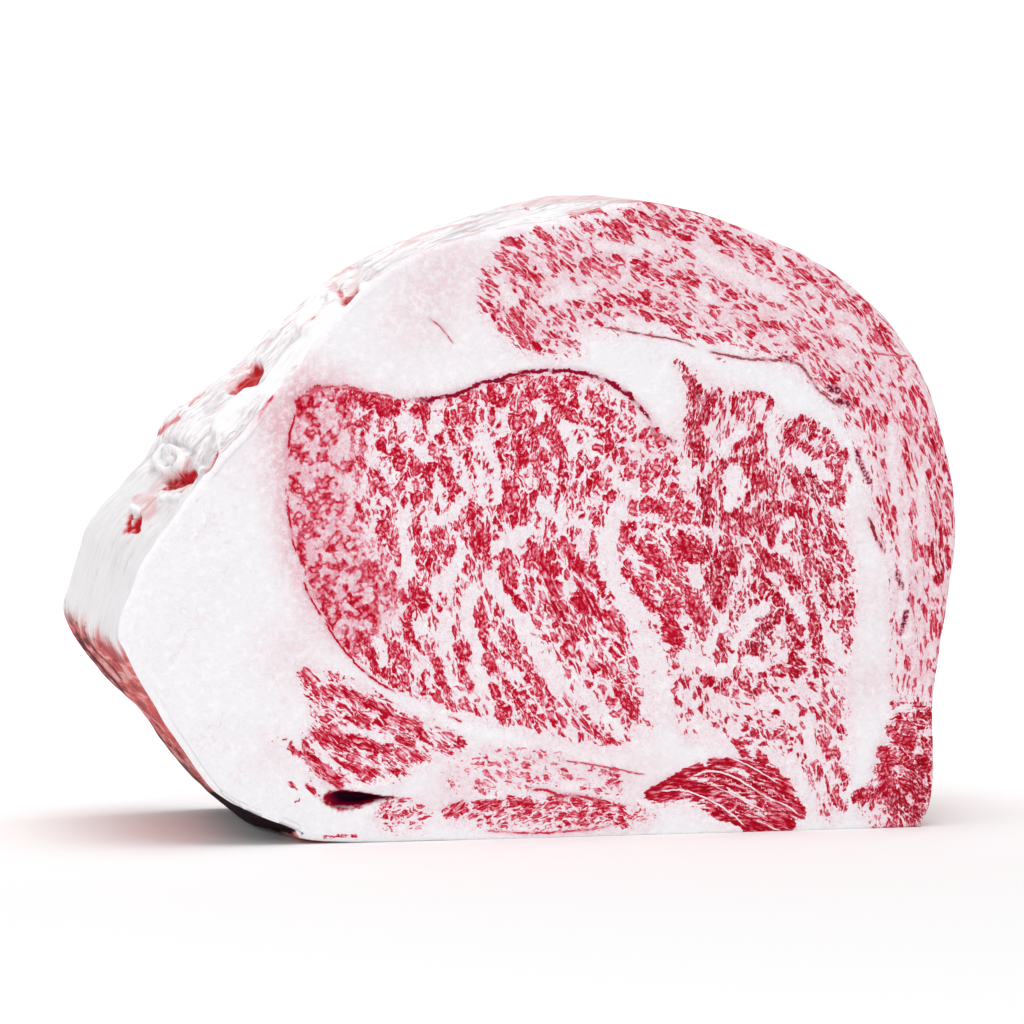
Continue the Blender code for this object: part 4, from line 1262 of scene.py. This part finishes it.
# each noise: scale, detail, roughness, then the stretch and the shift of its coordinates where it has them
noises = {
    # along the fibres
    "bend": (0.6, 2, 0.5),
    "clump": (0.7, 2, 0.5),
    "grain": (1, 2, 0.6, (3.1, 3.6, 1), (2, 5, 4)),
    "warp": (1, 3, 0.6, (1.3, 1.5, 1), (1, 5, 2)),
    "curls": (1, 1.5, 0.5, (2.4, 3, 1), (3, 8, 1)),
    "straightStrokes": (1, 1.5, 0.5, (2, 1, 1), (3, 8, 1)),
    "hatching": (1, 1.5, 0.5, (4.2, 1.6, 1), (7, 3, 1)),
    # in the object's own metres
    "lacyCurls": (1, 1.5, 0.5, (400, 130, 400)),
    "lacyBreaks": (1, 2.5, 0.6, (260, 80, 260), (5, 5, 5)),
    "crumb": (1500, 1, 0.5),
    "cloud": (90, 3, 0.55),
    "fine": (1050, 2, 0.65),
    "lumps": (420, 3, 0.6),
    "threads": (560, 3, 0.6, (1, 0.5, 0.3)),
    "folds": (75, 3.5, 0.6, (1, 0.5, 1.2)),
    "sand": (2300, 1, 0.5),
    "blushGrain": (700, 3, 0.7),
    "lineBreaks": (260, 2, 0.5),
    "lineWobble": (420, 2, 0.5),
    "bruiseGrain": (600, 2, 0.5),
    "pitGrain": (320, 2, 0.5),
    "mottle": (110, 4, 0.6),
    "underStrands": (1, 4, 0.65, (230, 50, 230)),
    # around the outer side, mm: along the outline, backwards, and x
    "sideBend": (1, 2, 0.5, (0.06, 0.16, 0)),
    "streak": (1, 5, 0.68, (0.04, 0.22, 0.02)),
    "fineStreak": (1, 4, 0.65, (0.1, 0.9, 0.05), (5, 9, 2)),
    "threadDark": (1, 3, 0.55, (0.028, 0.2, 0), (3, 1, 7)),
    "threadGrey": (1, 3, 0.55, (0.04, 0.33, 0), (3, 1, 7)),
    "threadRosy": (1, 3, 0.55, (0.05, 0.26, 0), (3, 1, 7)),
}


def noise(vector, name, output="Fac"):
    scale, detail, roughness, *stretch = noises[name]
    place = stretched(vector, *stretch) if stretch else vector
    inputs = {"Vector": place, "Scale": scale, "Detail": detail, "Roughness": roughness}
    return addNode(vector.tree, "ShaderNodeTexNoise", inputs, output)


def voronoi(vector, scale, output, feature):
    inputs = {"Vector": vector, "Scale": scale}
    return addNode(vector.tree, "ShaderNodeTexVoronoi", inputs, output, feature=feature)


def redOf(shade):
    return addNode(shade.tree, "ShaderNodeSeparateColor", {0: shade})


def spread(value, strength):  # (value - 0.5) * strength: a noise about its middle, as a part of a sum
    return (value - 0.5) * strength


def crests(vector, name, width):  # 1 - |noise - 0.5| / width: highest in curved lines
    return abs(noise(vector, name) - 0.5) * (-1 / width) + 1.0


marblingLook = {
    "bend": (1.2, 0.5, 0.4),  # in bundles of fibres: across, along and through
    "flakeBend": (1.5, 1.1, 0),
    "flakes": (1.3, 1.22, 0.7),  # flakes of lean in a bundle: across, along and through
    "flakeTones": 1.4,  # how much they differ in redness
    "channelWidth": 0.175,  # of the fat between flakes
    "channelDepth": -4.6,
    "curlWidth": 0.085,
    "straightWidth": 0.09,
    "strokes": 1.9,  # how strongly the fine strokes break up the lean
    "hatching": 7.5,
    "lacyWidth": 0.1,
    "lacyCurls": 2.3,
    "crumbs": 2.6,
    "fray": 11.0,  # mm by which soft borders stray, and in finer steps
    "fineFray": 8.0,
    "meatRed": [
        (0.06, "fat"), (0.17, "warmFat"), (0.30, "pale"), (0.44, "rosy"), (0.61, "rose"),
        (0.79, "crimson"), (0.95, "deepCrimson"),
    ],
}


def marbling(tree, spot, crumb):  # the colour of the lean, and where it shows
    look = marblingLook
    amount, net, soft = attribute(tree, "amount"), attribute(tree, "net"), attribute(tree, "soft")
    # the fibre coordinates, bent a little so that nothing runs straight
    fibre = attribute(tree, "fibre", "Vector")
    bent = bentBy(fibre, noise(fibre, "bend", "Color"), look["bend"])
    clump, grain = noise(bent, "clump"), noise(bent, "grain")
    # flakes of lean, each its own red, parted by channels of fat that widen and close
    cells = stretched(bentBy(bent, noise(bent, "warp", "Color"), look["flakeBend"]), look["flakes"])
    toEdge = voronoi(cells, 1.0, "Distance", "DISTANCE_TO_EDGE")
    toEdge = toEdge + spread(clump, 0.5) + spread(grain, 0.2) + amount * 0.1
    flakes = spread(redOf(voronoi(cells, 1.0, "Color", "F1")), look["flakeTones"])
    flakes = flakes + (band(toEdge, look["channelWidth"], 0.02) * look["channelDepth"] + 0.35)
    flakes = flakes + band(toEdge, 0.36, 0.17, 0.0, 0.9) + amount * 0.45
    # two kinds of fine strokes: curly ones, and straight ones that follow the fibres
    curly = crests(bent, "curls", look["curlWidth"]).atLeast(-0.8) * look["strokes"] + spread(grain, 2.8)
    straight = crests(bent, "straightStrokes", look["straightWidth"]).atLeast(-1.2) * look["strokes"]
    straight = straight + spread(noise(bent, "hatching"), look["hatching"])
    strokes = mixed(attribute(tree, "hatch"), curly, straight) * (net * -0.7 + 1.0)
    # at the eye's left the lean is broken into short curls on a pink ground
    curled = crests(spot, "lacyCurls", look["lacyWidth"]).atLeast(-0.5) * look["lacyCurls"]
    lacy = curled + band(noise(spot, "lacyBreaks"), 0.42, 0.52, -1.9, 1.5) + (amount * 0.9 - 1.8)
    field = mixed(net, flakes, lacy) + strokes + spread(crumb, look["crumbs"])
    # the muscle's border, frayed where it is soft
    fray = (spread(clump, look["fray"]) + spread(grain, look["fineFray"])) * soft + spread(grain, 2.0)
    field = field + band(attribute(tree, "edge") + fray, 0.35, soft * -1.4 - 0.45, 0.0, -8.0)
    red = ramp(field * 0.14 + 0.5, look["meatRed"])
    red = blend(attribute(tree, "deep") * band(field, -0.8, 2.2), red, tints["deep"], "MULTIPLY")
    return red, band(field, -3.8, -2.4)


def fatGrain(tree, spot):  # the colour of the fat and its height
    cloud, fine, lumps, threads = (noise(spot, name) for name in ("cloud", "fine", "lumps", "threads"))
    near = band(attribute(tree, "edge"), -5.0, -0.3)
    warm = (near * band(cloud, 0.25, 0.6, 0.3, 0.85)).atLeast(band(cloud, 0.5, 0.8) * 0.35)
    shade = blend(near, colour["coolGrain"], colour["fatGrain"])
    result = blend(warm, colour["fat"], colour["warmFat"])
    result = blend(band(fine, 0.48, 0.7) * (warm * 0.55 + 0.25), result, shade)
    result = blend(band(threads, 0.54, 0.7) * (near * 0.4 + 0.12), result, shade)
    result = blend(band(lumps, 0.5, 0.32) * 0.8, result, colour["fatSpeck"])
    # painted shade of faint folds: a light pink tint along winding lines, which have no height of their own
    folds = band(abs(noise(spot, "folds") - 0.5), 0.022, 0.0) * band(cloud, 0.46, 0.62)
    result = blend(folds * 0.28, result, colour["fatGrain"])
    result = blend(band(noise(spot, "sand"), 0.5, 0.72) * (near * 0.4 + 0.3), result, shade)
    return result, fine * 0.55 + (lumps * 0.5 + threads * 0.4)


def drawLines(tree, spot, crumb, result):  # thin lines of membrane, gaps and veins, with a rosy halo
    across, strength = attribute(tree, "lineAcross"), attribute(tree, "lineStrength")
    result = blend(band(abs(across), 5.0, 1.0) * strength * 0.6, result, tints["halo"], "MULTIPLY")
    away = abs(across + spread(noise(spot, "lineWobble"), 5.0)) + spread(crumb, 1.6)
    mask = band(away, 1.7, 0.8) * (strength * band(noise(spot, "lineBreaks"), 0.36, 0.54, 0.35, 1.0))
    line = ramp(attribute(tree, "lineTint"), [
        (0.0, "crimson"), (0.2, "rose"), (0.38, "membrane"), (0.5, "membrane"), (0.7, "brown"),
        (0.85, "warmFat"),
    ])
    result = blend(band(mask, 0.0, 0.55), result, blend(0.6, line, colour["pale"]))
    return blend(band(mask, 0.25, 0.8), result, line)


def drawBruises(tree, spot, crumb, result):
    bruise = attribute(tree, "bruise") * band(crumb, 0.35, 0.6, 0.6, 1.05)
    bruise = bruise + spread(noise(spot, "bruiseGrain"), 0.7)
    result = blend(band(bruise, 0.15, 0.6, 0.0, 0.8), result, colour["rosy"])
    return blend(band(bruise, 0.45, 0.95), result, colour["bruise"])


def drawPit(tree, spot, crumb, result):  # the hole low on the face: a red rim, darker inwards
    pit = attribute(tree, "pit")
    rim = band(attribute(tree, "pitRim") + spread(crumb, 0.9), 0.3, 0.8)
    result = blend(rim * band(noise(spot, "pitGrain"), 0.38, 0.55, 0.25, 1.0), result, colour["crimson"])
    result = blend(band(pit, 0.02, 0.35), result, colour["pitRed"])
    return blend(band(pit, 0.3, 0.95), result, colour["pitDark"])


def paintedGlints(spot, scale, share):  # painted highlights: small white dots in the middle of a share of the cells
    distance = voronoi(spot, scale, "Distance", "F1")
    return band(distance, 0.22, 0.10) * redOf(distance.beside("Color")).maths("LESS_THAN", share)


def cutFaceMaterial():
    material, tree, shader = newMaterial("cutFace")
    spot = addNode(tree, "ShaderNodeTexCoord", {}, "Object")
    crumb = noise(spot, "crumb")
    red, lean = marbling(tree, spot, crumb)
    fat, height = fatGrain(tree, spot)
    blush = attribute(tree, "blush") * band(noise(spot, "blushGrain"), 0.35, 0.62, 0.45, 1.35)
    result = blend(blush, blend(lean, fat, red), tints["blush"], "MULTIPLY")
    for draw in (drawLines, drawBruises, drawPit):
        result = draw(tree, spot, crumb, result)
    # painted highlights: white glint dots mixed into the colour, where wet glints would shine
    result = blend(paintedGlints(spot, 900.0, 0.09) * 0.75, result, colour["paintedGlint"])
    bump = addNode(tree, "ShaderNodeBump", {"Height": height, "Strength": 0.5, "Distance": 0.0003})
    plug(result, shader["Base Color"])
    plug(bump, shader["Normal"])
    plug(band(lean, 0, 1, 0.42, 0.34), shader["Roughness"])
    plug(0.05, shader["Specular IOR Level"])
    return material


sideThreads = {"threadDark": 0.85, "threadGrey": 0.8, "threadRosy": 0.7}  # how strongly they show

# how the side's marks are laid: where each begins and is whole, how streaky its border is, how strong it is
sideLayers = {
    "lower": (0.2, 0.9, 0.6, 0.8),
    "greyAndPaintedShade": (0.1, 0.9, 0.9, 0.8),
    "pink": (0.1, 1.1, 2.2, 0.75),
    "white": (0.3, 0.9, 0.6, 0.85),
    "under": (0.1, 0.9, 1.0, 1.0),
    "red": (0.12, 0.8, 0.8, 1.0),
    "darkAndPaintedShade": (0.25, 0.85, 0.8, 1.0),
}


def outerSideMaterial():
    material, tree, shader = newMaterial("outerSide")
    spot = addNode(tree, "ShaderNodeTexCoord", {}, "Object")
    flatBand = attribute(tree, "band", "Vector")
    around = bentBy(flatBand, noise(flatBand, "sideBend", "Color"), (6.0, 5.0, 0.0), 0.0)
    streak, fineStreak = noise(around, "streak"), noise(around, "fineStreak")
    mottle = noise(spot, "mottle")
    result = ramp(streak * 0.6 + fineStreak * 0.4, [
        (0.36, "paperShade"), (0.43, "paperGrey"), (0.48, "paper"), (0.54, "paperLight"),
        (0.62, "paperRosy"),
    ])
    result = blend(band(mottle, 0.48, 0.72, 0.0, 0.3), result, colour["paperBlush"])
    for name, strength in sideThreads.items():
        thread = band(abs(noise(around, name) - 0.5), 0.022, 0.0)
        result = blend(thread * band(fineStreak, 0.42, 0.6, 0.0, strength), result, colour[name])
    # where a muscle reaches the side its fibres show between threads of fat
    inside = band(spread(mottle, 14.0) + attribute(tree, "edge"), -0.5, 1.5)
    fibres = band(spread(fineStreak, 0.7) + streak, 0.57, 0.47)
    flesh = ramp(fineStreak, [
        (0.36, "deepCrimson"), (0.47, "fleshRed"), (0.56, "fleshRose"), (0.66, "rosy"),
    ])
    result = blend(inside * fibres * 0.93, result, flesh)

    def layer(name):  # a mark with streaks at its border
        low, high, rough, strength = sideLayers[name]
        return band(attribute(tree, name) + spread(fineStreak, rough), low, high) * strength

    # the grey layer is painted shade in creases and hollows, elsewhere grey streaks of the fat
    for name in ("lower", "greyAndPaintedShade", "pink", "white", "under"):
        result = blend(layer(name), result, colour[name])
    # strands of the band that turns under, darker towards the back
    under, strands = attribute(tree, "under"), noise(spot, "underStrands")
    depth = addNode(tree, "ShaderNodeSeparateXYZ", {0: flatBand}, 1)
    result = blend(under * band(strands, 0.5, 0.4, 0.0, 0.8), result, colour["underPale"])
    dusky = band(strands, 0.50, 0.60) * band(depth, 10, 60, 0.4, 0.9)
    result = blend(dusky * under, result, colour["underDusky"])
    red = layer("red")
    result = blend(red, result, ramp(red, [(0.3, "markPink"), (0.7, "markRed"), (1.0, "markDeep")]))
    # the dark layer is painted shade in the pit, the slots and the gash, and the near-black band along the
    # underside at the left
    result = blend(layer("darkAndPaintedShade"), result, colour["darkAndPaintedShade"])
    height = streak + fineStreak * 0.4
    bump = addNode(tree, "ShaderNodeBump", {"Height": height, "Strength": 0.6, "Distance": 0.0006})
    plug(result, shader["Base Color"])
    plug(bump, shader["Normal"])
    plug(band(under.atLeast(attribute(tree, "darkAndPaintedShade")), 0, 1, 0.38, 0.9), shader["Roughness"])
    plug(0.12, shader["Specular IOR Level"])
    return material


steak.data.materials.append(cutFaceMaterial())
steak.data.materials.append(outerSideMaterial())
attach(steak, "root")
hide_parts("fat", *muscles)
print("materials done")


# Studio: white floor and backdrop, soft light from everywhere, a large soft lamp above and others around

studio = {  # metres
    "floorHalf": 3.0,
    "floorBend": 0.5,  # radius of the curve from the floor up to the backdrop
    "backdropHeight": 1.6,
    "floorWhite": (0.96, 0.96, 0.96, 1),
    "skyStrength": 0.6,
    "farthest": 20,  # how far the camera sees
    # each lamp: where it is, where it points, how wide it is, its power in watts
    "lamps": {
        "overhead": ((-0.08, -0.35, 1.5), (0, 0, 0.08), 1.3, 8.2),
        "front": ((-0.5, -1.5, 0.9), (0, 0, 0.08), 0.7, 4.2),
        "lowLeft": ((-1.2, -0.3, 0.35), (-0.1, 0, 0.03), 0.6, 1.1),
        "backdropLight": ((0, 0.4, 1.2), (0, 2, 0.5), 1.0, 16),
    },
}


def makeFloor():  # a strip carried along x: flat, then a quarter circle, then upright, behind the steak
    half, bend, high = studio["floorHalf"], studio["floorBend"], studio["backdropHeight"]
    angle = np.linspace(0, np.pi / 2, 24)
    y = np.concatenate([[-half], half / 2 + bend * np.sin(angle), [half / 2 + bend]])
    z = np.concatenate([[0], bend * (1 - np.cos(angle)), [high]])
    n = len(y)
    places = np.stack([np.repeat([-half, half], n), np.tile(y, 2), np.tile(z, 2)], 1)
    k = np.arange(n - 1)
    faces = np.stack([k, k + n, k + n + 1, k + 1], 1)
    mesh = bpy.data.meshes.new("floor")
    mesh.from_pydata(places.tolist(), [], faces.tolist())
    mesh.polygons.foreach_set("use_smooth", np.ones(len(faces), bool))
    floor = bpy.data.objects.new("floor", mesh)
    bpy.context.scene.collection.objects.link(floor)
    material, _, shader = newMaterial("floorWhite")
    plug(studio["floorWhite"], shader["Base Color"])
    plug(0.9, shader["Roughness"])
    plug(0, shader["Specular IOR Level"])
    mesh.materials.append(material)


def makeLamp(name, place, target, size, power):
    data = bpy.data.lights.new(name, "AREA")
    data.shape = "DISK"
    data.size = size
    data.energy = power
    lamp = bpy.data.objects.new(name, data)
    lamp.location = place
    x, y, z = np.array(target, float) - np.array(place, float)
    lamp.rotation_euler = (math.atan2(math.hypot(x, y), -z), 0, math.atan2(y, x) - math.pi / 2)
    bpy.context.scene.collection.objects.link(lamp)


def makeCamera():
    back = cameraAxes()[2]
    data = bpy.data.cameras.new("camera")
    data.sensor_width = cameraSetup["sensorWidth"]
    data.lens = cameraSetup["focalPixels"] / cameraSetup["framePixels"] * cameraSetup["sensorWidth"]
    data.clip_end = studio["farthest"]
    camera = bpy.data.objects.new("camera", data)
    camera.location = (np.array(cameraSetup["target"]) + back * cameraSetup["distance"]) * mm
    camera.rotation_euler = np.radians([90 - cameraSetup["elevation"], 0, cameraSetup["azimuth"]])
    bpy.context.scene.collection.objects.link(camera)
    bpy.context.scene.camera = camera


def makeWorld():
    world = bpy.data.worlds.new("softSky")
    world.use_nodes = True
    background = world.node_tree.nodes["Background"]
    background.inputs["Color"].default_value = (1, 1, 1, 1)
    background.inputs["Strength"].default_value = studio["skyStrength"]
    bpy.context.scene.world = world


makeFloor()
for name, lamp in studio["lamps"].items():
    makeLamp(name, *lamp)
makeCamera()
makeWorld()
bpy.context.scene.view_settings.view_transform = "Standard"
print("studio done")
